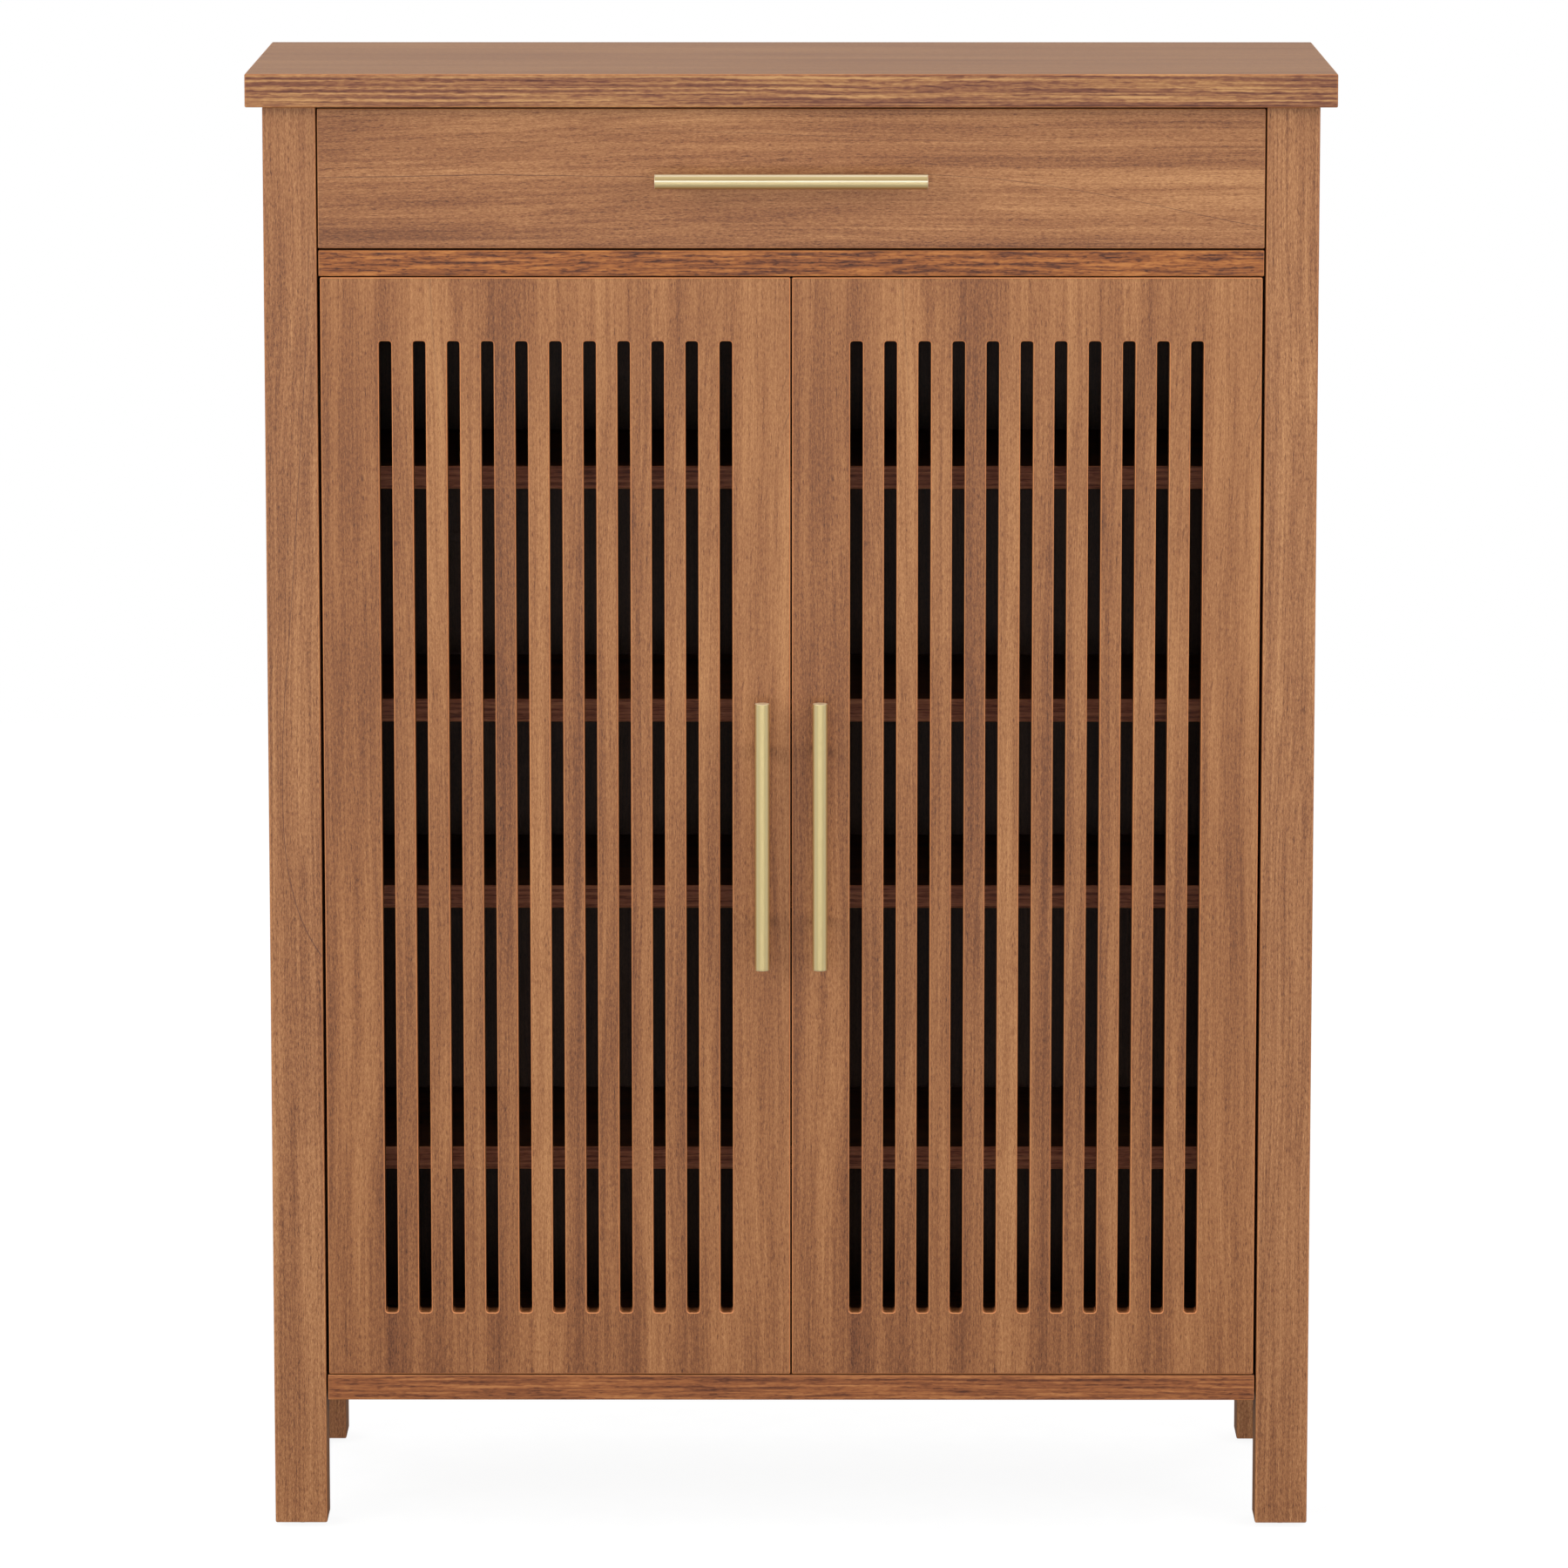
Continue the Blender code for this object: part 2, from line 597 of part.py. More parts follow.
def slides(drawer_axis, middle_axis):
    """Side-mounted slides: cabinet member, middle member and drawer member on each side."""
    middle_z = BOX_UNDERSIDE + SLIDE_CENTRE_ABOVE_BOX
    half = SLIDE_HEIGHT / 2
    across = SLIDE_THICK - 2 * GAP
    step = SLIDE_STEEL + SLIDE_PLAY
    outer = channel_outline(0, OUTER_FLANGE_END, half, SLIDE_STEEL)
    middle = channel_outline(step, MIDDLE_FLANGE_END, half - step, SLIDE_STEEL)
    inner = channel_outline(across, 2 * step + SLIDE_PLAY, half - 2 * step, SLIDE_STEEL)
    for side, sign in SIDES.items():
        channel(f"slide_outer_{side}", sign, outer, middle_z)
        channel(f"slide_middle_{side}", sign, middle, middle_z, middle_axis)
        channel(f"drawer_slide_{side}", sign, inner, middle_z, drawer_axis)


def drawer():
    """The drawer: a front with a bar handle, a four-sided box behind it, and its slides."""
    start = (0, FACE_Y, (DRAWER_UNDERSIDE + DRAWER_TOP) / 2)
    axis = joint_empty("drawer_axis", start)
    middle_axis = joint_empty("slide_middle_axis", start)
    front_end = CLEAR_HALF - DRAWER_SIDE_PLAY
    front_y = (FACE_Y, FACE_Y + DOOR_THICK)
    front_z = (DRAWER_UNDERSIDE, DRAWER_TOP)
    board("drawer_front", (-front_end, front_end), front_y, front_z, WALNUT, axis)
    handle("drawer", start, (1, 0, 0), ("left", "right"), axis)
    box_half = SIDE_INNER - SLIDE_THICK
    box_y = (FACE_Y + DOOR_THICK + GAP, FACE_Y + DOOR_THICK + GAP + BOX_DEPTH)
    box_z = (BOX_UNDERSIDE, BOX_UNDERSIDE + BOX_HEIGHT)
    for side, sign in SIDES.items():
        faces = sorted((sign * box_half, sign * (box_half - BOX_BOARD)))
        board(f"drawer_side_{side}", faces, box_y, box_z, DRAWER_BOARD, axis, edge=BOX_EDGE_ROUND, segments=1)
    inside = box_half - BOX_BOARD - GAP
    back_y = (box_y[1] - BOX_BOARD, box_y[1])
    floor_z = BOX_UNDERSIDE + BOX_FLOOR_LIFT
    back_z = (floor_z + BOX_FLOOR + GAP, box_z[1])
    across = (-inside, inside)
    board("drawer_back", across, back_y, back_z, DRAWER_BOARD, axis, edge=BOX_EDGE_ROUND, segments=1)
    floor_span = (floor_z, floor_z + BOX_FLOOR)
    board("drawer_bottom", (-inside, inside), box_y, floor_span, DRAWER_BOARD, axis, edge=0)
    slides(axis, middle_axis)


frame_posts()
carcass_boards()
shelves()
wall_bracket()
doors()
drawer()
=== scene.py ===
"""The looks of a walnut shoe cabinet with slotted doors, a drawer and satin gold bar handles, built
round its CAD frame. Lengths are in metres."""

import math

import bmesh
import bpy
import numpy as np
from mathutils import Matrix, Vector


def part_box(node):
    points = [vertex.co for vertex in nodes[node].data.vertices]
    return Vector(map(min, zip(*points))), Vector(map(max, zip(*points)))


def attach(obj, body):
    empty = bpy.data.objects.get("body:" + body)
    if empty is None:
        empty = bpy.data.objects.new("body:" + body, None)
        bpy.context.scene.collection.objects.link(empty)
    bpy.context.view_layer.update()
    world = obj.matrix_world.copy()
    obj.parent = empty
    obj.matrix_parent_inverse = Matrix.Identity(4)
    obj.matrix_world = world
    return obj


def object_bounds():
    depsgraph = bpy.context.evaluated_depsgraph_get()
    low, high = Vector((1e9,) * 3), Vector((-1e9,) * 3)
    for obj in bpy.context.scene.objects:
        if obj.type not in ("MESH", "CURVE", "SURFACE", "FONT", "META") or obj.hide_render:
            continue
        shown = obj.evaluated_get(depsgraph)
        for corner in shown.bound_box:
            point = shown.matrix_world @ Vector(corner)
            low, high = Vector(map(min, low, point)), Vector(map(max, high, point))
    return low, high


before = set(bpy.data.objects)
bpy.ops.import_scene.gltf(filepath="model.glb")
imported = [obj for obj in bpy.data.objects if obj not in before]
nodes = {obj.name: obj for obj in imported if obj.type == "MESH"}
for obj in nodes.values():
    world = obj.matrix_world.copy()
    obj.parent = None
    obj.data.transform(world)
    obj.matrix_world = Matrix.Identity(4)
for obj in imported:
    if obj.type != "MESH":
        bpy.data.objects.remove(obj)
cad_low, cad_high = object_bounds()

X, Y, Z = 0, 1, 2
DOWN, UP, BACK, FRONT = (0, 0, -1), (0, 0, 1), (0, 1, 0), (0, -1, 0)
SIDES = {"left": -1, "right": 1}
INWARD = {"left": (1, 0, 0), "right": (-1, 0, 0)}
ENDS = ("upper", "lower")
TAU = 2 * math.pi


# ---------------------------------------------------------------- shader maths


# the screen's colour curve: a straight toe, then a power
TOE_END, TOE_SLOPE, CURVE_SHIFT, CURVE_POWER = 0.04045, 12.92, 0.055, 2.4
# the sockets of a Mix node: its factor, its two vectors, its two colours, and what comes out
FACTOR, VECTOR_A, VECTOR_B, COLOUR_A, COLOUR_B = 0, 4, 5, 6, 7
VECTOR_OUT, COLOUR_OUT = 1, 2


def linear(red, green, blue):
    """A colour given as 0 to 255 steps on a screen, as linear light with full alpha."""
    steps = np.array((red, green, blue)) / 255
    curve = ((steps + CURVE_SHIFT) / (1 + CURVE_SHIFT)) ** CURVE_POWER
    return (*np.where(steps <= TOE_END, steps / TOE_SLOPE, curve).tolist(), 1.0)


def tinted(colour, share):
    """The colour with each of its three lights at this share, and full alpha."""
    return (*(share * light for light in colour[:3]), 1.0)


class Value:
    """A number that varies over a surface. Python's operators on it add Math nodes to its
    finish."""

    def __init__(self, finish, socket):
        self.finish, self.socket = finish, socket

    def maths(self, operation, *others):
        numbers = dict(enumerate((self, *others)))
        return self.finish.value("Math", {"operation": operation}, numbers)

    def __add__(self, other):
        return self.maths("ADD", other)

    def __sub__(self, other):
        return self.maths("SUBTRACT", other)

    def __rsub__(self, other):
        return self.finish.value("Math", {"operation": "SUBTRACT"}, {0: other, 1: self})

    def __mul__(self, other):
        return self.maths("MULTIPLY", other)

    def __truediv__(self, other):
        return self.maths("DIVIDE", other)

    def __abs__(self):
        return self.maths("ABSOLUTE")

    __radd__, __rmul__ = __add__, __mul__

    def above(self, edge, softness):
        """0 below the edge and 1 above it, crossing over a band of this softness."""
        limits = {"From Min": edge - softness / 2, "From Max": edge + softness / 2}
        settings = {"interpolation_type": "SMOOTHSTEP"}
        return self.finish.value("MapRange", settings, {"Value": self, **limits}, "Result")


class Finish:
    """One material: a Principled shader, and one method that adds any other node."""

    def __init__(self, name, **fixed):
        self.material = bpy.data.materials.new(name)
        self.material.use_nodes = True
        self.tree = self.material.node_tree
        self.tree.nodes.clear()
        self.shader = self.node("BsdfPrincipled", {}, {})
        self.output = self.node("OutputMaterial", {}, {"Surface": self.shader.outputs[0]})
        for socket, number in fixed.items():
            self.shader.inputs[socket.replace("_", " ")].default_value = number

    def node(self, kind, settings, sockets):
        """A new node: its settings come first, then what goes into its sockets."""
        made = self.tree.nodes.new("ShaderNode" + kind)
        for setting, choice in settings.items():
            if setting == "stops":
                self.set_stops(made.color_ramp, choice)
            else:
                setattr(made, setting, choice)
        for key, given in sockets.items():
            given = given.socket if isinstance(given, Value) else given
            if isinstance(given, bpy.types.NodeSocket):
                self.tree.links.new(given, made.inputs[key])
            else:
                made.inputs[key].default_value = given
        return made

    @staticmethod
    def set_stops(ramp, stops):
        while len(ramp.elements) < len(stops):
            ramp.elements.new(0.5)
        for element, (position, colour) in zip(ramp.elements, stops):
            element.position, element.color = position, colour

    def value(self, kind, settings, sockets, output=0):
        return Value(self, self.node(kind, settings, sockets).outputs[output])

    def feed(self, **sockets):
        """Links what varies over the surface into the shader's sockets."""
        for name, given in sockets.items():
            given = given.socket if isinstance(given, Value) else given
            self.tree.links.new(given, self.shader.inputs[name.replace("_", " ")])

    def vector(self, operation, a, b):
        return self.node("VectorMath", {"operation": operation}, {0: a, 1: b}).outputs[0]

    def joined(self, x, y, z):
        return self.node("CombineXYZ", {}, {0: x, 1: y, 2: z}).outputs[0]

    def split(self, vector):
        parts = self.node("SeparateXYZ", {}, {0: vector})
        return [Value(self, socket) for socket in parts.outputs]

    def mixed(self, share, a, b, blend="MIX"):
        """A colour between a and b."""
        settings = {"data_type": "RGBA", "blend_type": blend, "clamp_result": True}
        sockets = {FACTOR: share, COLOUR_A: a, COLOUR_B: b}
        return self.node("Mix", settings, sockets).outputs[COLOUR_OUT]

    def between(self, share, a, b):
        """A vector between a and b."""
        sockets = {FACTOR: share, VECTOR_A: a, VECTOR_B: b}
        return self.node("Mix", {"data_type": "VECTOR"}, sockets).outputs[VECTOR_OUT]

    def noise(self, vector, scale, detail=2.0, roughness=0.5):
        sockets = {"Vector": vector, "Scale": scale, "Detail": detail, "Roughness": roughness}
        return self.value("TexNoise", {"noise_dimensions": "3D"}, sockets, "Fac")

    def ramp(self, value, *stops):
        return self.node("ValToRGB", {"stops": stops}, {0: value}).outputs[0]

    def bump(self, height, distance, strength):
        sockets = {"Height": height, "Distance": distance, "Strength": strength}
        return self.node("Bump", {}, sockets).outputs[0]

    def place(self, output="Object"):
        """The point on the piece, in metres, or with "Normal" its own outward direction."""
        return self.node("TexCoord", {}, {}).outputs[output]


# ---------------------------------------------------------------- walnut


# where a face counts as looking along an axis, and as flat, each an edge and a softness
ALONG_AXIS, FLAT = (0.7, 0.2), (0.96, 0.04)
SEED_SHIFT = (0.37, 1.31, 0.73)
# how strong the veneer's bands, its streaks and its stipple are on most boards
FIGURE = (1.0, 0.5, 1.0)

# noises of the veneer: waves per metre along the grain and across it, octaves, roughness
LONG_BEND, SHORT_BEND = (1.3, 4.5, 2.0), (12.0, 50.0, 1.0)
BROAD, CLOUD = (1.1, 32.0, 3.0, 0.5), (3.5, 9.0, 2.0)
NARROW, HAIRS = (4.0, 210.0, 2.0, 0.6), (6.0, 700.0, 2.0, 0.6)
FIBRE, PORES = (340.0, 1250.0, 2.0, 0.75), (150.0, 1350.0, 1.0)
VEIN_SWAY, VEIN_PLACES = (1.3, 4.0, 1.0), (2.1, 9.0, 1.0)
# how far the bends push the grain sideways
LONG_BEND_REACH, SHORT_BEND_REACH = 0.045, 0.0012
# veins: how many to a metre, how much they sway, how wide, and how broken up
WIDE_VEIN, THIN_VEIN = (5.3, 1.9, 0.00035, 0.02), (8.1, 2.6, 0.0002, 0.06)
VEIN_FADE = 0.1
# the tone of the veneer, and how much each figure lightens or darkens it
VENEER_TONE, CLOUD_DEPTH, NARROW_DEPTH, PORE_DEPTH = 0.625, 0.4, 0.9, 0.22
PORE_EDGE = (0.15, 0.05)

# the same for the band glued to an edge
BAND_LONG_BEND, BAND_SHORT_BEND = (5.0, 20.0, 1.0), (75.0, 130.0, 1.0)
BAND_LONG_REACH, BAND_SHORT_REACH = 0.004, 0.0009
BAND_STREAK, BAND_FIBRE = (460.0, 3.0, 0.6), (190.0, 1000.0, 2.0, 0.6)
FLECKS_PER_STREAK, FLECKS_MORE, FLECKS, FLECK_EDGE = 4.0, 50.0, (620.0, 1.0), (0.1, 0.1)
BAND_TONE, STREAK_DEPTH, BAND_FIBRE_DEPTH, FLECK_DEPTH = 0.62, 2.1, 0.6, 0.22
BAND_SEED = 5


def facing(finish, axis):
    """1 on the faces that look along this axis, 0 on the others."""
    return abs(finish.split(finish.place("Normal"))[axis]).above(*ALONG_AXIS)


def arris(finish):
    """1 on the small rounded edges, where the outward direction lies between the axes."""
    x, y, z = (abs(part) for part in finish.split(finish.place("Normal")))
    return 1 - x.maths("MAXIMUM", y).maths("MAXIMUM", z).above(*FLAT)


def grain_space(finish, centre, along, ends_along):
    """The point as (along the grain, across it, through it). On the board's ends the grain
    follows the band glued there."""
    around = finish.vector("SUBTRACT", finish.place(), centre)
    parts = finish.split(around)
    across, through = (axis for axis in (X, Z, Y) if axis != along)
    faces = finish.joined(parts[along], parts[across], parts[through])
    left = next(axis for axis in (X, Y, Z) if axis not in (along, ends_along))
    ends = finish.joined(parts[ends_along], parts[left], parts[along])
    return finish.between(facing(finish, along), faces, ends)


class Grain:
    """A point in grain space, and noises drawn out along the grain, each given as waves per
    metre along and across it."""

    def __init__(self, finish, space, seed):
        self.finish = finish
        shift = tuple(seed * step for step in SEED_SHIFT)
        self.point = finish.vector("ADD", space, shift)

    def noise(self, along, across, detail=2.0, roughness=0.5):
        """The noise, from -0.5 to 0.5."""
        drawn = self.finish.vector("MULTIPLY", self.point, (along, across, across))
        return self.finish.noise(drawn, 1.0, detail, roughness) - 0.5

    def wander(self, offset):
        """Moves the point sideways, so that all that is drawn after this bends with it."""
        moved = self.finish.joined(0.0, offset, offset)
        self.point = self.finish.vector("ADD", self.point, moved)

    def vein(self, per_metre, sway, width, broken):
        """Thin lines at even steps across the grain, pushed about by a slow noise, and shown only
        in places."""
        across = self.finish.split(self.point)[1] * per_metre + self.noise(*VEIN_SWAY) * sway
        reach = width * per_metre
        line = 1 - abs(across.maths("FRACT") - 0.5).above(reach, reach)
        return line * self.noise(*VEIN_PLACES).above(broken, VEIN_FADE)


def veneer(grain, bands, streaks, stipple):
    """How light the veneer is, from 0 to 1, its dark veins, and the fine relief of its fibres."""
    long_bend = grain.noise(*LONG_BEND) * LONG_BEND_REACH
    grain.wander(long_bend + grain.noise(*SHORT_BEND) * SHORT_BEND_REACH)
    broad = grain.noise(*BROAD) * bands
    cloud = grain.noise(*CLOUD) * CLOUD_DEPTH * bands
    narrow = grain.noise(*NARROW) * NARROW_DEPTH * streaks
    hairs = grain.noise(*HAIRS) * streaks
    fibre = grain.noise(*FIBRE)
    pores = grain.noise(*PORES).above(*PORE_EDGE)
    veins = grain.vein(*WIDE_VEIN).maths("MAXIMUM", grain.vein(*THIN_VEIN))
    figure = VENEER_TONE + broad + cloud + narrow + hairs
    return figure + fibre * stipple - pores * stipple * PORE_DEPTH, veins, fibre


def banding(grain, along, contrast):
    """The coarser figure of the band glued to a board's edge, and its relief: wavy light and dark
    streaks, so many a metre along the grain, and short dark flecks."""
    long_bend = grain.noise(*BAND_LONG_BEND) * BAND_LONG_REACH
    grain.wander(long_bend + grain.noise(*BAND_SHORT_BEND) * BAND_SHORT_REACH)
    streak = grain.noise(along, *BAND_STREAK) * STREAK_DEPTH * contrast
    fibre = grain.noise(*BAND_FIBRE)
    flecks = grain.noise(FLECKS_PER_STREAK * along + FLECKS_MORE, *FLECKS).above(*FLECK_EDGE)
    tone = BAND_TONE + streak + fibre * BAND_FIBRE_DEPTH * contrast
    return tone - flecks * FLECK_DEPTH * contrast, fibre


# how dark to light a face goes, from the deepest streak to the palest, and the tones they stand at
TONE_STOPS = (0.08, 0.34, 0.56, 0.74, 0.98)
FACE_TONES = ((80, 44, 27), (120, 73, 43), (150, 98, 60), (171, 118, 75), (194, 142, 95))
TOP_EDGE_TONES = ((84, 42, 30), (112, 64, 44), (140, 90, 58), (164, 114, 70), (192, 144, 92))
DIVIDER_TONES = ((60, 27, 14), (98, 50, 23), (138, 78, 34), (160, 95, 43), (184, 117, 58))
# painted light: the shelves' edge bands are much lighter than the other edges, standing in for
# light through the door slots
SHELF_EDGE_TONES_PAINTED_LIGHTER = ((108, 56, 38), (144, 80, 54), (186, 108, 74), (206, 126, 88), (226, 150, 106))
BOTTOM_TONES = ((70, 32, 15), (106, 56, 28), (138, 80, 42), (156, 94, 50), (180, 118, 68))
VEIN, VEIN_SHARE = linear(84, 48, 38), 0.7
# painted highlight: the pale orange that the small rounded edges are lightened towards, standing in
# for the light they catch
ARRIS_PAINTED_HIGHLIGHT = linear(236, 156, 100)
# painted shade: how much lighter the doors grow in a metre upwards, standing in for weaker light
# lower down
PAINTED_SHADE_RISE = 0.1
WOOD_GLOSS, SATIN, SATIN_SWING = 0.32, 0.44, 0.1
WOOD_RELIEF, WOOD_RELIEF_SHARE, TONE_RELIEF = 0.0001, 0.4, 0.5

# bare fibreboard: its noises are waves per metre, octaves and roughness
BOARD_GLOSS, BOARD_SEED = 0.3, 51.0
# painted shade: the back board's inside face is darkened to near black, as the inside of the
# cabinet lies in shade
INSIDE_PAINTED_SHADE = (0.15, 0.12, 0.1, 1.0)
BLOTCHES, SHORT_FIBRES = (14.0, 3.0), (900.0, 3.0, 0.75)
BLOTCH_SHARE, SHORT_FIBRE_SHARE = 0.3, 0.7
BARE_BOARD = ((0.34, (104, 74, 52)), (0.5, (139, 104, 76)), (0.68, (170, 134, 102)))
REARWARD = (0.5, 0.2)
BOARD_ROUGHNESS, BARE_ROUGHER, MOTTLE_ROUGHER = 0.5, 0.2, 0.2
BOARD_RELIEF, BOARD_RELIEF_SHARE = 0.00015, 0.4


def screen_stops(stops):
    """Ramp stops of (position, colour), the colours given in screen steps."""
    return [(position, linear(*colour)) for position, colour in stops]


def tones(finish, tone, steps):
    return finish.ramp(tone, *screen_stops(zip(TONE_STOPS, steps)))


def walnut(node, along, ends_along, seed, figure=FIGURE, edge=None, arris_highlight=0.2, lean=0.0, tint_and_painted_light=None):
    """Satin walnut on a board: veneer with its grain along one axis, a coarser band on the edges
    where it has one, and arrises lightened by a painted highlight. Figure is how strong the
    veneer's bands, streaks and stipple are. Lean is how much lighter the veneer grows in a metre
    across it; it then also grows a little lighter along it, which is painted shade. The last
    argument is a colour multiplied into its faces: a true tint on the doors, a painted grey
    sheen on the top, and painted shade on the shelves."""
    low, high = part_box(node)
    finish = Finish("walnut_" + node, Specular_IOR_Level=WOOD_GLOSS)
    space = grain_space(finish, (low + high) / 2, along, ends_along)
    tone, veins, relief = veneer(Grain(finish, space, seed), *figure)
    if lean:
        along_board, across_board, _ = finish.split(space)
        # the rise along the board is painted shade: lighter higher up, darker lower down
        tone = tone + across_board * lean + along_board * PAINTED_SHADE_RISE
    colour = finish.mixed(veins * VEIN_SHARE, tones(finish, tone, FACE_TONES), VEIN)
    # painted light: this multiplied colour paints a grey sheen on the top and the shade inside the
    # cabinet on the shelves; on the doors it is their own tint
    if tint_and_painted_light:
        colour = finish.mixed(1.0, colour, (*tint_and_painted_light, 1.0), "MULTIPLY")
    if edge:
        edge_tones, *band_figure = edge
        band, band_relief = banding(Grain(finish, space, seed + BAND_SEED), *band_figure)
        flat = facing(finish, Z)
        colour = finish.mixed(flat, tones(finish, band, edge_tones), colour)
        relief = relief * flat + band_relief * (1 - flat)
    # painted highlight: the rounded edges and slot rims are lightened, as if they caught the light
    colour = finish.mixed(arris(finish) * arris_highlight, colour, ARRIS_PAINTED_HIGHLIGHT)
    height = relief + tone * TONE_RELIEF
    finish.feed(Base_Color=colour, Roughness=SATIN + tone * SATIN_SWING)
    finish.feed(Normal=finish.bump(height, WOOD_RELIEF, WOOD_RELIEF_SHARE))
    return finish.material


def hardboard(node):
    """Thin board: veneer towards the inside, darkened there as painted shade, and bare brown
    fibreboard on the back, mottled with short fibres."""
    finish = Finish("back_board", Specular_IOR_Level=BOARD_GLOSS)
    low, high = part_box(node)
    space = grain_space(finish, (low + high) / 2, Z, X)
    tone, _, relief = veneer(Grain(finish, space, BOARD_SEED), *FIGURE)
    # painted shade on the inside face
    inside = finish.mixed(1.0, tones(finish, tone, FACE_TONES), INSIDE_PAINTED_SHADE, "MULTIPLY")
    fibres = finish.noise(finish.place(), *SHORT_FIBRES)
    blotches = finish.noise(finish.place(), *BLOTCHES)
    mottle = fibres * SHORT_FIBRE_SHARE + blotches * BLOTCH_SHARE
    bare = finish.ramp(mottle, *screen_stops(BARE_BOARD))
    rear = finish.split(finish.place("Normal"))[Y].above(*REARWARD)
    roughness = BOARD_ROUGHNESS + rear * BARE_ROUGHER + (mottle - 0.5) * MOTTLE_ROUGHER
    height = relief * (1 - rear) + mottle * rear
    finish.feed(Base_Color=finish.mixed(rear, inside, bare), Roughness=roughness)
    finish.feed(Normal=finish.bump(height, BOARD_RELIEF, BOARD_RELIEF_SHARE))
    return finish.material


# on the doors the arris highlight is a painted highlight on their rounded edges and slot rims, and
# their tint is their own colour
DOOR = {"arris_highlight": 0.7, "lean": 0.55, "tint_and_painted_light": (0.92, 0.87, 0.8)}
POST = {"figure": (0.5, 0.6, 1.1)}
# painted sheen: the top's multiplied colour makes it greyer and bluer, standing in for the
# reflection across it
TOP = {"figure": (0.4, 0.2, 0.6), "edge": (TOP_EDGE_TONES, 4.0, 1.0), "tint_and_painted_light": (0.9, 1.0, 1.12)}
# painted shade: the shelves' faces are darkened, as they stand in shade inside the cabinet, while
# their edge bands carry painted light
SHELF = {"edge": (SHELF_EDGE_TONES_PAINTED_LIGHTER, 6.0, 0.8), "tint_and_painted_light": (0.42, 0.4, 0.38)}
# board: the axis of its grain, the axis of the band on its ends, its seed, and its looks
WOOD = {
    "door_left_panel": (Z, X, 4.0, DOOR),
    "door_right_panel": (Z, X, 4.0, DOOR),
    "drawer_front": (X, Y, 7.0, {}),
    "front_post_left": (Z, X, 10.0, POST),
    "front_post_right": (Z, X, 15.0, POST),
    "rear_post_left": (Z, X, 12.0, POST),
    "rear_post_right": (Z, X, 14.0, POST),
    "side_panel_left": (Z, Y, 21.0, {}),
    "side_panel_right": (Z, Y, 23.0, {}),
    "top_panel": (X, Y, 31.0, TOP),
    "bottom_board": (X, Y, 33.0, {"edge": (BOTTOM_TONES, 14.0, 0.9)}),
    "divider_board": (X, Y, 35.0, {"edge": (DIVIDER_TONES, 26.0, 1.0)}),
    "rear_rail": (X, Y, 37.0, {}),
    "shelf_1": (X, Y, 41.0, SHELF),
    "shelf_2": (X, Y, 42.0, SHELF),
    "shelf_3": (X, Y, 43.0, SHELF),
    "shelf_4": (X, Y, 44.0, SHELF),
    "drawer_side_left": (Y, X, 61.0, {}),
    "drawer_side_right": (Y, X, 62.0, {}),
    "drawer_back": (X, Y, 63.0, {}),
    "drawer_bottom": (Y, X, 64.0, {}),
}
SHELVES = [node for node in WOOD if node.startswith("shelf_")]


def cover(node, material):
    """Gives the whole node this one material."""
    slots = nodes[node].data.materials
    slots.clear()
    slots.append(material)


for node, (along, ends_along, seed, looks) in WOOD.items():
    cover(node, walnut(node, along, ends_along, seed, **looks))
cover("back_panel", hardboard("back_panel"))


# ---------------------------------------------------------------- metal and plastic


# each noise: waves per metre, octaves
CAST_GRAIN, MOULDED_GRAIN = (900.0, 3.0), (700.0, 3.0)
METAL_DARKEST, METAL_ROUGHER = 0.93, 0.05
PLASTIC_DARKEST, PLASTIC_ROUGHER = 0.7, 0.15
GRAIN_LOW, GRAIN_HIGH = 0.3, 0.7

# painted highlights and reflections: light and dark lines across a brushed bar, from one side of it
# to the other
DRAWER_BAR_PAINTED_REFLECTIONS = (
    (0.0, (168, 112, 54)),
    (0.12, (206, 172, 112)),
    (0.3, (221, 201, 150)),
    (0.5, (210, 189, 139)),
    (0.56, (252, 246, 224)),
    (0.64, (178, 154, 104)),
    (0.84, (182, 160, 111)),
    (0.94, (244, 232, 202)),
    (1.0, (198, 168, 116)),
)
DOOR_BAR_PAINTED_REFLECTIONS = (
    (0.0, (186, 136, 72)),
    (0.07, (206, 174, 114)),
    (0.14, (222, 206, 157)),
    (0.3, (200, 181, 129)),
    (0.7, (198, 179, 127)),
    (0.86, (222, 206, 157)),
    (0.93, (206, 174, 114)),
    (1.0, (186, 136, 72)),
)
# the brush lines, in waves per metre across and along a bar, and what they do to it
BRUSH_ACROSS, BRUSH_ALONG, BRUSH_LINES = 5200.0, 14.0, (3.0, 0.6)
BRUSH_SHIFT, BAR_ROUGHNESS, BRUSH_ROUGHER = 0.12, 0.42, 0.14
BRUSH_RELIEF, BRUSH_RELIEF_SHARE = 0.00003, 0.35
BAR_METAL = 0.5
# painted highlight on both ends of a bar: where it begins, how strong it is, and its colour
BAR_END, END_SHARE, END_PAINTED_HIGHLIGHT = (0.4985, 0.001), 0.6, linear(255, 244, 214)


def metal(name, colour, roughness):
    """Smooth metal, with a very fine grain in its tint and its shine."""
    finish = Finish(name, Metallic=1.0)
    per_metre, octaves = CAST_GRAIN
    point = finish.vector("MULTIPLY", finish.place(), (per_metre,) * 3)
    grain = finish.noise(point, 1.0, octaves)
    darkest = tinted(colour, METAL_DARKEST)
    finish.feed(Base_Color=finish.ramp(grain, (GRAIN_LOW, darkest), (GRAIN_HIGH, colour)))
    finish.feed(Roughness=roughness + (grain - 0.5) * METAL_ROUGHER)
    return finish.material


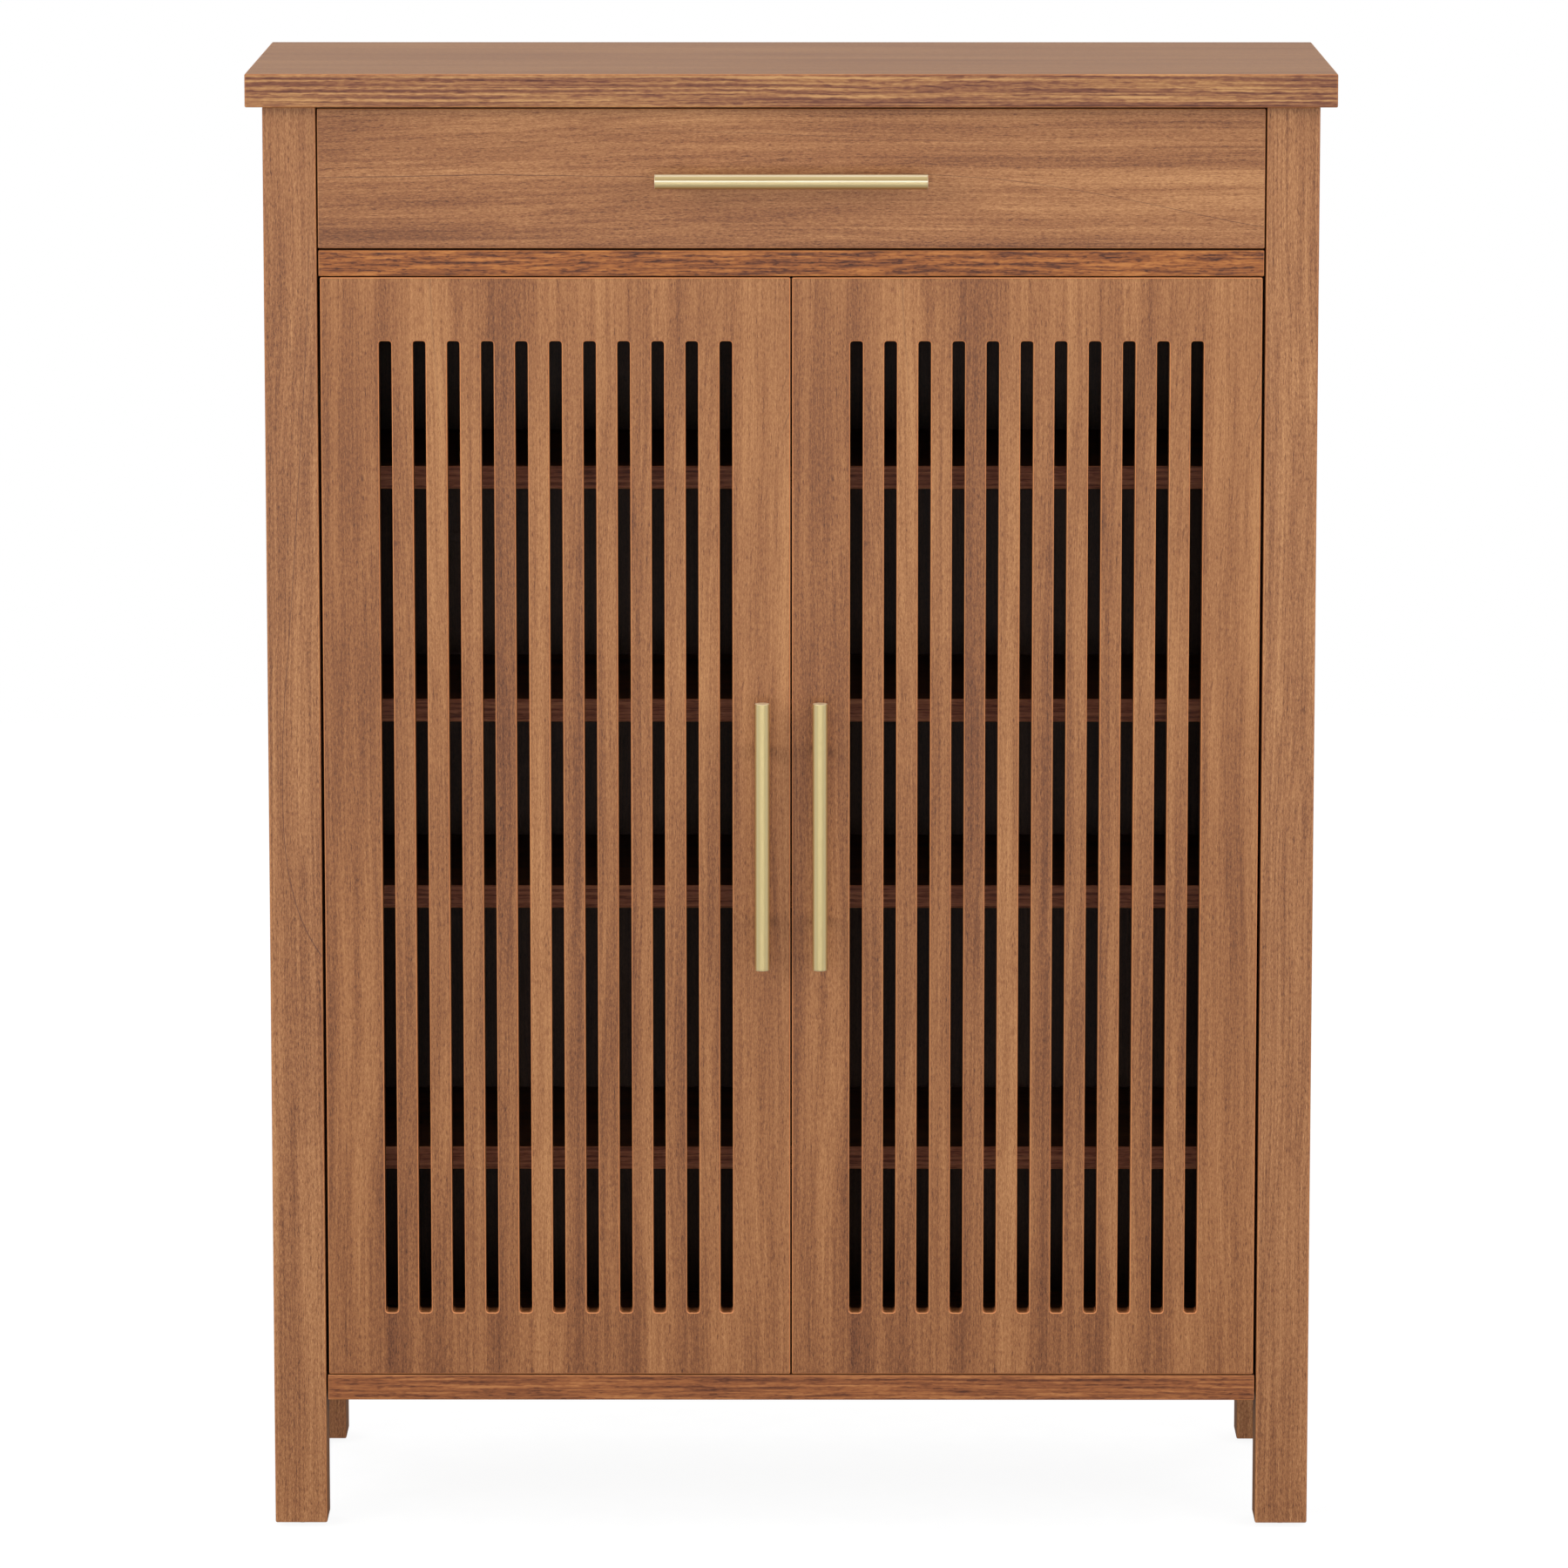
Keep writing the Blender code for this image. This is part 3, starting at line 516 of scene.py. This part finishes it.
def plastic(name, colour, roughness):
    """Moulded plastic, with a fine grain in its tint and its shine."""
    finish = Finish(name)
    grain = finish.noise(finish.place(), *MOULDED_GRAIN)
    darkest = tinted(colour, PLASTIC_DARKEST)
    finish.feed(Base_Color=finish.ramp(grain, (GRAIN_LOW, darkest), (GRAIN_HIGH, colour)))
    finish.feed(Roughness=roughness + (grain - 0.5) * PLASTIC_ROUGHER)
    return finish.material


def satin_bar_painted_reflections(node, along, lines):
    """Satin gold on a straight bar, brushed along its length with fine lines that run the same way.
    Its light and dark bands along the bar are painted highlights and reflections, and its ends
    carry a painted highlight."""
    low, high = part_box(node)
    across = X if along == Z else Z
    finish = Finish("brushed_" + node, Metallic=BAR_METAL)
    parts = finish.split(finish.vector("SUBTRACT", finish.place(), (low + high) / 2))
    share = parts[across] / (high - low)[across] + 0.5
    waves = [BRUSH_ACROSS] * 3
    waves[along] = BRUSH_ALONG
    point = finish.vector("MULTIPLY", finish.place(), tuple(waves))
    lay = finish.noise(point, 1.0, *BRUSH_LINES) - 0.5
    # painted highlights and reflections: light and dark lines across the bar
    colour = finish.ramp(share + lay * BRUSH_SHIFT, *screen_stops(lines))
    # painted highlight at both ends of the bar
    ends = abs(parts[along] / (high - low)[along]).above(*BAR_END)
    colour = finish.mixed(ends * END_SHARE, colour, END_PAINTED_HIGHLIGHT)
    finish.feed(Base_Color=colour, Roughness=BAR_ROUGHNESS + lay * BRUSH_ROUGHER)
    finish.feed(Normal=finish.bump(lay, BRUSH_RELIEF, BRUSH_RELIEF_SHARE))
    return finish.material


BRASS = metal("satin_gold", linear(240, 220, 166), 0.28)
NICKEL = metal("nickel", linear(205, 203, 198), 0.25)
ZINC = metal("zinc", linear(170, 172, 175), 0.35)
BLACK = plastic("black_plastic", linear(22, 22, 24), 0.5)
BROWN_PLASTIC = plastic("brown_plastic", linear(84, 56, 42), 0.45)
# the finish of a new piece, by the record's material slot
SLOT_FINISH = {"nickel_plate": NICKEL, "zinc_steel": ZINC, "brown_plastic": BROWN_PLASTIC}


def fitting_finish(node):
    """The finish of a CAD node that is neither board nor bar, by what kind of fitting it is."""
    if "handle_post" in node:
        return BRASS
    if "glide" in node:
        return BLACK
    if "hinge" in node or "strike" in node:
        return NICKEL
    if "slide" in node or "bracket" in node:
        return ZINC
    return BROWN_PLASTIC


for side in SIDES:
    bar = f"door_{side}_handle_bar"
    cover(bar, satin_bar_painted_reflections(bar, Z, DOOR_BAR_PAINTED_REFLECTIONS))
cover("drawer_handle_bar", satin_bar_painted_reflections("drawer_handle_bar", X, DRAWER_BAR_PAINTED_REFLECTIONS))
for node in nodes:
    if node not in WOOD and node != "back_panel" and not node.endswith("handle_bar"):
        cover(node, fitting_finish(node))


# ---------------------------------------------------------------- shapes of the small fittings


def lattice_faces(rows, columns):
    """The four-sided faces of a grid of points numbered row by row, each row joined round."""
    row, column = np.mgrid[0 : rows - 1, 0:columns]
    first = row * columns + column
    beside = row * columns + (column + 1) % columns
    return np.stack([first, beside, beside + columns, first + columns], -1).reshape(-1, 4)


def turned(profile, steps=24):
    """A profile of (radius, height) rows carried round its axis: (r cos t, r sin t, h). Both ends
    lie on the axis."""
    radius, height = np.array(profile).T[:, :, None]
    turn = np.linspace(0, TAU, steps, endpoint=False)[None]
    return np.stack([radius * np.cos(turn), radius * np.sin(turn), height + 0 * turn], -1)


def dome(radius, height, rim=0.35):
    """A low button: a straight rim of this share of its height, then a crown that falls as a
    quarter of an ellipse."""
    arc = np.linspace(0, math.pi / 2, 5)
    crown = np.stack([radius * np.cos(arc), height * (rim + (1 - rim) * np.sin(arc))], -1)
    return turned([(0, 0), (radius, 0), *crown], 16)


# a screw head's cross, as shares of its radius: half a slot's width, how far it reaches and how
# wide its sloping sides are, then its depth as a share of the head's height
SLOT_HALF, SLOT_REACH, SLOT_SLOPE, SLOT_DEPTH = 0.15, 0.62, 0.05, 0.6
# the rim's and the shoulder's height, the shoulder's radius, and how far the crown falls
RIM_HEIGHT, SHOULDER_HEIGHT, SHOULDER, CROWN_FALL = 0.45, 0.8, 0.93, 0.15
CROWN_RINGS = (0.8, 0.66, 0.6, 0.5, 0.4, 0.3, 0.2, 0.12, 0.0)


def screw_head(radius, height):
    """A screw head with a cross recess. The crown is a shallow parabola, and the recess is a cross
    of two slots whose sides slope in."""
    outer = [(0, 0), (radius, 0), (radius, RIM_HEIGHT * height)]
    outer.append((SHOULDER * radius, SHOULDER_HEIGHT * height))
    head = turned([*outer, *((share * radius, height) for share in CROWN_RINGS)], 40)
    x, y, z = np.moveaxis(head, -1, 0)
    away = np.hypot(x, y) / radius
    beside = np.minimum(abs(x), abs(y)) / radius
    slot = np.clip((SLOT_HALF - beside) / SLOT_SLOPE, 0, 1)
    slot *= np.clip((SLOT_REACH - away) / SLOT_SLOPE, 0, 1)
    slot *= (np.arange(len(z)) >= len(outer))[:, None]
    crowned = np.where(z > (1 - CROWN_FALL) * height, z - CROWN_FALL * height * away**2, z)
    head[..., Z] = crowned - SLOT_DEPTH * height * slot
    return head


def pad(half_width, half_height, thickness):
    """A flat plate with round corners and an eased edge: rings of |x/a|^n + |y/b|^n = 1, where
    n is 5."""
    squareness, eased = 5.0, 0.3 * thickness
    turn = np.linspace(0, TAU, 40, endpoint=False)
    around_x = np.sign(np.cos(turn)) * abs(np.cos(turn)) ** (2 / squareness)
    around_y = np.sign(np.sin(turn)) * abs(np.sin(turn)) ** (2 / squareness)
    rings = [
        (0, 0, 0),
        (half_width, half_height, 0),
        (half_width, half_height, thickness - eased),
        (half_width - eased, half_height - eased, thickness),
        (0, 0, thickness),
    ]
    return np.array([np.stack([a * around_x, b * around_y, h + 0 * turn], -1) for a, b, h in rings])


def set_at(shape, place, out):
    """The shape with its foot at a place and its height along a direction."""
    out = np.array(out, float)
    side = np.array((0.0, 0.0, 1.0)) if abs(out[Z]) < 0.5 else np.array((0.0, 1.0, 0.0))
    third = np.cross(side, out)
    return shape[..., :1] * third + shape[..., 1:2] * side + shape[..., 2:] * out + np.array(place)


SAME_POINT, SHARP = 0.000001, math.radians(35)


def fittings(name, body, slot, shapes):
    """One piece from many closed shapes, each a grid of points that joins round on itself."""
    points, faces, first = [], [], 0
    for shape in shapes:
        rows, columns = shape.shape[:2]
        points.append(shape.reshape(-1, 3))
        faces.append(lattice_faces(rows, columns) + first)
        first += rows * columns
    mesh = bpy.data.meshes.new(name)
    mesh.from_pydata(np.concatenate(points).tolist(), [], np.concatenate(faces).tolist())
    closed = bmesh.new()
    closed.from_mesh(mesh)
    bmesh.ops.remove_doubles(closed, verts=closed.verts, dist=SAME_POINT)
    bmesh.ops.recalc_face_normals(closed, faces=closed.faces)
    closed.to_mesh(mesh)
    closed.free()
    mesh.shade_smooth()
    mesh.set_sharp_from_angle(angle=SHARP)
    mesh.materials.append(SLOT_FINISH[slot])
    piece = bpy.data.objects.new(name, mesh)
    bpy.context.scene.collection.objects.link(piece)
    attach(piece, body)


def middle(node):
    low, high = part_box(node)
    return (low + high) / 2


# ---------------------------------------------------------------- screws, pins and caps


PAN_HEAD, FLAT_HEAD = screw_head(0.0042, 0.0022), screw_head(0.0036, 0.0007)
SMALL_HEAD, FLUSH_HEAD = screw_head(0.0028, 0.0012), screw_head(0.0034, 0.00018)
WASHER_THICK = 0.0007
WASHER_RINGS = [(0, 0), (0.0062, 0), (0.0062, 0.0005), (0.0058, WASHER_THICK), (0, WASHER_THICK)]
WASHER = turned(WASHER_RINGS, 28)
SHELF_PIN_COLLAR = [(0, 0), (0.0036, 0), (0.0036, 0.0006)]
SHELF_PIN_STEM = [(0.0024, 0.0006), (0.0024, 0.0082), (0.0017, 0.0090), (0, 0.0090)]
SHELF_PIN = turned(SHELF_PIN_COLLAR + SHELF_PIN_STEM)
CATCH_POLE = pad(0.014, 0.0007, 0.00014)
BOARD_CAP, DRAWER_CAP, PANEL_PIN = dome(0.0082, 0.0009), dome(0.0075, 0.0008), dome(0.0026, 0.0007)

# where each of them sits on its fitting or board
CUP_TO_FLANGE, CUP_SCREW_OFFSET = 0.0061, 0.024
PLATE_SCREW_OFFSET, PLATE_THICK, PLATE_FROM_BACK, PLATE_SETTER = 0.016, 0.004, 0.019, 0.008
CATCH_SCREW_OFFSET, CATCH_POLE_OFFSET = 0.0135, 0.0028
SHELF_PIN_ROWS, SHELF_PIN_DROP = (-0.045, 0.112), 0.0025
BOARD_CAP_ROWS, BOARD_CAP_ACROSS = (-0.09, 0.09), 0.315
PANEL_PIN_INSET, PANEL_PINS_UP, PANEL_PINS_ACROSS = 0.006, 9, 7
BRACKET_LEAF, BRACKET_SCREW_FORWARD, BRACKET_SCREW_OFFSET = 0.002, 0.001, 0.009
SLIDE_STEEL, SLIDE_SCREWS = 0.0012, (0.018, 0.075, 0.132, 0.228)
DRAWER_CAP_BEHIND, DRAWER_CAP_UP, DRAWER_CAP_DOWN = 0.034, 0.027, 0.014


def washer_screw(x, y, z):
    """A pan head on a washer, driven from behind a front panel."""
    return [set_at(WASHER, (x, y, z), BACK), set_at(PAN_HEAD, (x, y + WASHER_THICK, z), BACK)]


def door_handle_screws(side):
    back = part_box(f"door_{side}_panel")[1].y
    screws = []
    for end in ENDS:
        post = middle(f"door_{side}_handle_post_{end}")
        screws += washer_screw(post.x, back, post.z)
    fittings(f"door_{side}_handle_screws", "door_" + side, "nickel_plate", screws)


def door_plate_screws(side):
    """The screws in a door's hinge cups and in its strike plate."""
    screws = []
    for end in ENDS:
        cup = f"door_{side}_hinge_cup_{end}"
        across, back = middle(cup).x - SIDES[side] * CUP_TO_FLANGE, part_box(cup)[1].y
        for offset in (-CUP_SCREW_OFFSET, CUP_SCREW_OFFSET):
            screws.append(set_at(FLAT_HEAD, (across, back, middle(cup).z + offset), BACK))
    strike = f"door_{side}_strike_plate"
    place = (middle(strike).x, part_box(strike)[1].y, middle(strike).z)
    screws.append(set_at(FLUSH_HEAD, place, BACK))
    fittings(f"door_{side}_plate_screws", "door_" + side, "nickel_plate", screws)


def hinge_plate_screws():
    """Two screws and an adjusting screw in each hinge plate."""
    screws = []
    for side, inward in INWARD.items():
        for end in ENDS:
            low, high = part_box(f"hinge_arm_{side}_{end}")
            wall = (low.x if side == "left" else high.x) + inward[X] * PLATE_THICK
            back, height = high.y - PLATE_FROM_BACK, (low.z + high.z) / 2
            for offset in (-PLATE_SCREW_OFFSET, PLATE_SCREW_OFFSET):
                screws.append(set_at(FLAT_HEAD, (wall, back, height + offset), inward))
            screws.append(set_at(SMALL_HEAD, (wall, back + PLATE_SETTER, height), inward))
    fittings("hinge_plate_screws", "cabinet", "nickel_plate", screws)


def catch_fittings():
    """Each magnetic catch's two screws and the two steel poles in its face."""
    screws, poles = [], []
    for side in SIDES:
        low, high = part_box(f"magnet_catch_{side}")
        centre = (low + high) / 2
        for offset in (-CATCH_SCREW_OFFSET, CATCH_SCREW_OFFSET):
            screws.append(set_at(SMALL_HEAD, (centre.x + offset, centre.y, low.z), DOWN))
        for offset in (-CATCH_POLE_OFFSET, CATCH_POLE_OFFSET):
            poles.append(set_at(CATCH_POLE, (centre.x, low.y, centre.z + offset), FRONT))
    fittings("catch_screws", "cabinet", "nickel_plate", screws)
    fittings("catch_poles", "cabinet", "zinc_steel", poles)


def shelf_pins():
    """Four pins under each shelf, standing out of the side panels."""
    pins = []
    for side, inward in INWARD.items():
        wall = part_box(f"side_panel_{side}")[1 if side == "left" else 0].x
        for shelf in SHELVES:
            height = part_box(shelf)[0].z - SHELF_PIN_DROP
            pins += [set_at(SHELF_PIN, (wall, row, height), inward) for row in SHELF_PIN_ROWS]
    fittings("shelf_pins", "cabinet", "nickel_plate", pins)


def joint_caps():
    """The caps over the cam fittings of the bottom, the divider and the rear rail."""
    floor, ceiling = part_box("bottom_board")[1].z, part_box("divider_board")[0].z
    rail, rail_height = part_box("rear_rail")[0].y, middle("rear_rail").z
    caps = []
    for sign in SIDES.values():
        across = sign * BOARD_CAP_ACROSS
        for row in BOARD_CAP_ROWS:
            caps.append(set_at(BOARD_CAP, (across, row, floor), UP))
            caps.append(set_at(BOARD_CAP, (across, row, ceiling), DOWN))
        caps.append(set_at(BOARD_CAP, (across, rail, rail_height), FRONT))
    fittings("joint_caps", "cabinet", "brown_plastic", caps)


def back_panel_pins():
    """Pins round the back panel's edge, and a row of them into the divider board."""
    low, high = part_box("back_panel")
    left, right = low.x + PANEL_PIN_INSET, high.x - PANEL_PIN_INSET
    heights = np.linspace(low.z + PANEL_PIN_INSET, high.z - PANEL_PIN_INSET, PANEL_PINS_UP)
    columns = np.linspace(left, right, PANEL_PINS_ACROSS)[1:-1]
    rows = (heights[0], heights[-1], middle("divider_board").z)
    spots = [(x, z) for x in (left, right) for z in heights]
    spots += [(x, z) for x in columns for z in rows]
    pins = [set_at(PANEL_PIN, (x, high.y, z), BACK) for x, z in spots]
    fittings("back_panel_pins", "cabinet", "zinc_steel", pins)


def bracket_screws():
    """The two screws that hold the wall bracket up under the top."""
    low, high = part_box("wall_bracket")
    row, under = (low.y + high.y) / 2 - BRACKET_SCREW_FORWARD, high.z - BRACKET_LEAF
    offsets = (-BRACKET_SCREW_OFFSET, BRACKET_SCREW_OFFSET)
    screws = [set_at(SMALL_HEAD, (offset, row, under), DOWN) for offset in offsets]
    fittings("bracket_screws", "cabinet", "nickel_plate", screws)


def drawer_handle_screws():
    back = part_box("drawer_front")[1].y
    screws = []
    for side in SIDES:
        post = middle("drawer_handle_post_" + side)
        screws += washer_screw(post.x, back, post.z)
    fittings("drawer_handle_screws", "drawer", "nickel_plate", screws)


def drawer_slide_screws():
    """The screws that hold each slide's inner member to the drawer's side."""
    screws = []
    for side, inward in INWARD.items():
        low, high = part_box("drawer_slide_" + side)
        web = high.x - SLIDE_STEEL if side == "left" else low.x + SLIDE_STEEL
        for behind in SLIDE_SCREWS:
            place = (web, low.y + behind, (low.z + high.z) / 2)
            screws.append(set_at(SMALL_HEAD, place, (-inward[X], 0, 0)))
    fittings("drawer_slide_screws", "drawer", "nickel_plate", screws)


def drawer_joint_caps():
    """The caps over the joints of the drawer's front with its sides."""
    caps = []
    for side, inward in INWARD.items():
        low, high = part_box("drawer_side_" + side)
        wall = high.x if side == "left" else low.x
        for height in (low.z + DRAWER_CAP_UP, high.z - DRAWER_CAP_DOWN):
            caps.append(set_at(DRAWER_CAP, (wall, low.y + DRAWER_CAP_BEHIND, height), inward))
    fittings("drawer_joint_caps", "drawer", "brown_plastic", caps)


for side in SIDES:
    door_handle_screws(side)
    door_plate_screws(side)
hinge_plate_screws()
catch_fittings()
shelf_pins()
joint_caps()
back_panel_pins()
bracket_screws()
drawer_handle_screws()
drawer_slide_screws()
drawer_joint_caps()


# ---------------------------------------------------------------- floor, light and camera


FLOOR_RADIUS, FLOOR_MIDDLE, FLOOR_RINGS, FLOOR_STEPS = 4.0, 0.05, 12, 64
FLOOR_GLOW, FLOOR_GRAIN = 0.92, (40.0, 3.0)
# grey levels: the two that the floor's grain runs between, and the floor as other surfaces see it
FLOOR_DARK, FLOOR_LIGHT, FLOOR_UNSEEN = 0.11, 0.13, 0.2

# the room's brightness from straight down at 0 to straight up at 1, and a trace more blue in it
WORLD = ((0.36, 0.35), (0.44, 0.4), (0.49, 1.0), (0.52, 0.8), (0.60, 0.5), (0.75, 0.5), (1.0, 1.08))
WORLD_BLUE = 1.01
# softbox: place, what it points at, width, height, watts
SOFTBOXES = {
    "front_left": ((-3.2, -3.2, 2.2), (0, 0, 0.7), 2.2, 2.2, 76),
    "front_right": ((3.2, -3.2, 2.0), (0, 0, 0.7), 2.2, 2.2, 56),
    "front_low": ((0, -4.4, 0.5), (0, 0, 0.4), 3.5, 0.8, 46),
    "overhead": ((0, -0.3, 3.4), (0, 0, 1.0), 2.4, 1.6, 10),
    "rear_left": ((-3.0, 3.2, 2.2), (0, 0, 0.7), 2.0, 2.0, 35),
    "rear_right": ((3.0, 3.2, 2.2), (0, 0, 0.7), 2.0, 2.0, 35),
}

CAMERA_AWAY, CAMERA_HEIGHT, CAMERA_ACROSS = 6.2, 1.555, 0.0066
PITCH, PAN = math.radians(9.059), math.radians(0.110)
# in millimetres, as a camera's lens and film are given
LENS, FILM_WIDTH = 194.19, 36.0
NEAREST, FURTHEST = 0.1, 200


def grey(level):
    return (level, level, level, 1)


def stage_floor():
    """A wide pale floor. What the camera sees of it is close to white, so that only a faint
    shadow falls there."""
    reach = np.linspace(FLOOR_MIDDLE, FLOOR_RADIUS, FLOOR_RINGS)[:, None]
    turn = np.linspace(0, TAU, FLOOR_STEPS, endpoint=False)[None]
    level = np.full((FLOOR_RINGS, FLOOR_STEPS), cad_low.z)
    points = np.stack([reach * np.cos(turn), reach * np.sin(turn), level], -1)
    faces = lattice_faces(FLOOR_RINGS, FLOOR_STEPS).tolist() + [tuple(range(FLOOR_STEPS))]
    mesh = bpy.data.meshes.new("floor")
    mesh.from_pydata(points.reshape(-1, 3).tolist(), [], faces)
    floor = bpy.data.objects.new("floor", mesh)
    bpy.context.scene.collection.objects.link(floor)
    finish = Finish("pale_floor", Roughness=0.9, Specular_IOR_Level=0.0)
    finish.shader.inputs["Emission Color"].default_value = (1, 1, 1, 1)
    finish.shader.inputs["Emission Strength"].default_value = FLOOR_GLOW
    grain = finish.noise(finish.place(), *FLOOR_GRAIN)
    stops = ((GRAIN_LOW, grey(FLOOR_DARK)), (GRAIN_HIGH, grey(FLOOR_LIGHT)))
    finish.feed(Base_Color=finish.ramp(grain, *stops))
    dull = finish.node("BsdfDiffuse", {}, {"Color": grey(FLOOR_UNSEEN)})
    seen = finish.node("LightPath", {}, {}).outputs["Is Camera Ray"]
    sockets = {0: seen, 1: dull.outputs[0], 2: finish.shader.outputs[0]}
    either = finish.node("MixShader", {}, sockets)
    finish.tree.links.new(either.outputs[0], finish.output.inputs["Surface"])
    mesh.materials.append(finish.material)


def softbox(name, place, aim, width, height, watts):
    """A soft rectangular lamp that the camera doesn't see."""
    light = bpy.data.lights.new(name, "AREA")
    light.shape, light.size, light.size_y, light.energy = "RECTANGLE", width, height, watts
    lamp = bpy.data.objects.new(name, light)
    bpy.context.scene.collection.objects.link(lamp)
    lamp.location = place
    towards = np.array(aim) - np.array(place)
    lamp.rotation_euler = Vector(towards).to_track_quat("-Z", "Y").to_euler()
    lamp.visible_camera = False


def room():
    """A white room: what the camera sees is white, and what lights the piece varies with height."""
    world = bpy.data.worlds.new("studio")
    bpy.context.scene.world = world
    world.use_nodes = True
    tree = world.node_tree
    tree.nodes.clear()
    link = tree.links.new

    def add(kind):
        return tree.nodes.new("ShaderNode" + kind)

    way, parts, half, ramp = add("TexCoord"), add("SeparateXYZ"), add("MapRange"), add("ValToRGB")
    seen, unseen, either = add("Background"), add("Background"), add("MixShader")
    rays, output = add("LightPath"), add("OutputWorld")
    half.inputs["From Min"].default_value = -1.0
    Finish.set_stops(ramp.color_ramp, [(p, (b, b, b * WORLD_BLUE, 1)) for p, b in WORLD])
    seen.inputs["Color"].default_value = (1, 1, 1, 1)
    link(way.outputs["Generated"], parts.inputs[0])
    link(parts.outputs["Z"], half.inputs["Value"])
    link(half.outputs[0], ramp.inputs[0])
    link(ramp.outputs[0], unseen.inputs["Color"])
    link(rays.outputs["Is Camera Ray"], either.inputs[0])
    link(unseen.outputs[0], either.inputs[1])
    link(seen.outputs[0], either.inputs[2])
    link(either.outputs[0], output.inputs["Surface"])


def camera():
    view = bpy.data.cameras.new("camera")
    view.lens, view.sensor_width = LENS, FILM_WIDTH
    view.clip_start, view.clip_end = NEAREST, FURTHEST
    holder = bpy.data.objects.new("camera", view)
    bpy.context.scene.collection.objects.link(holder)
    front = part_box("front_post_left")[0].y
    holder.location = (CAMERA_ACROSS, front - CAMERA_AWAY, CAMERA_HEIGHT)
    holder.rotation_euler = (math.pi / 2 - PITCH, 0, PAN)
    bpy.context.scene.camera = holder


stage_floor()
room()
for name, (place, aim, width, height, watts) in SOFTBOXES.items():
    softbox(name, place, aim, width, height, watts)
camera()
bpy.context.scene.view_settings.view_transform = "Standard"
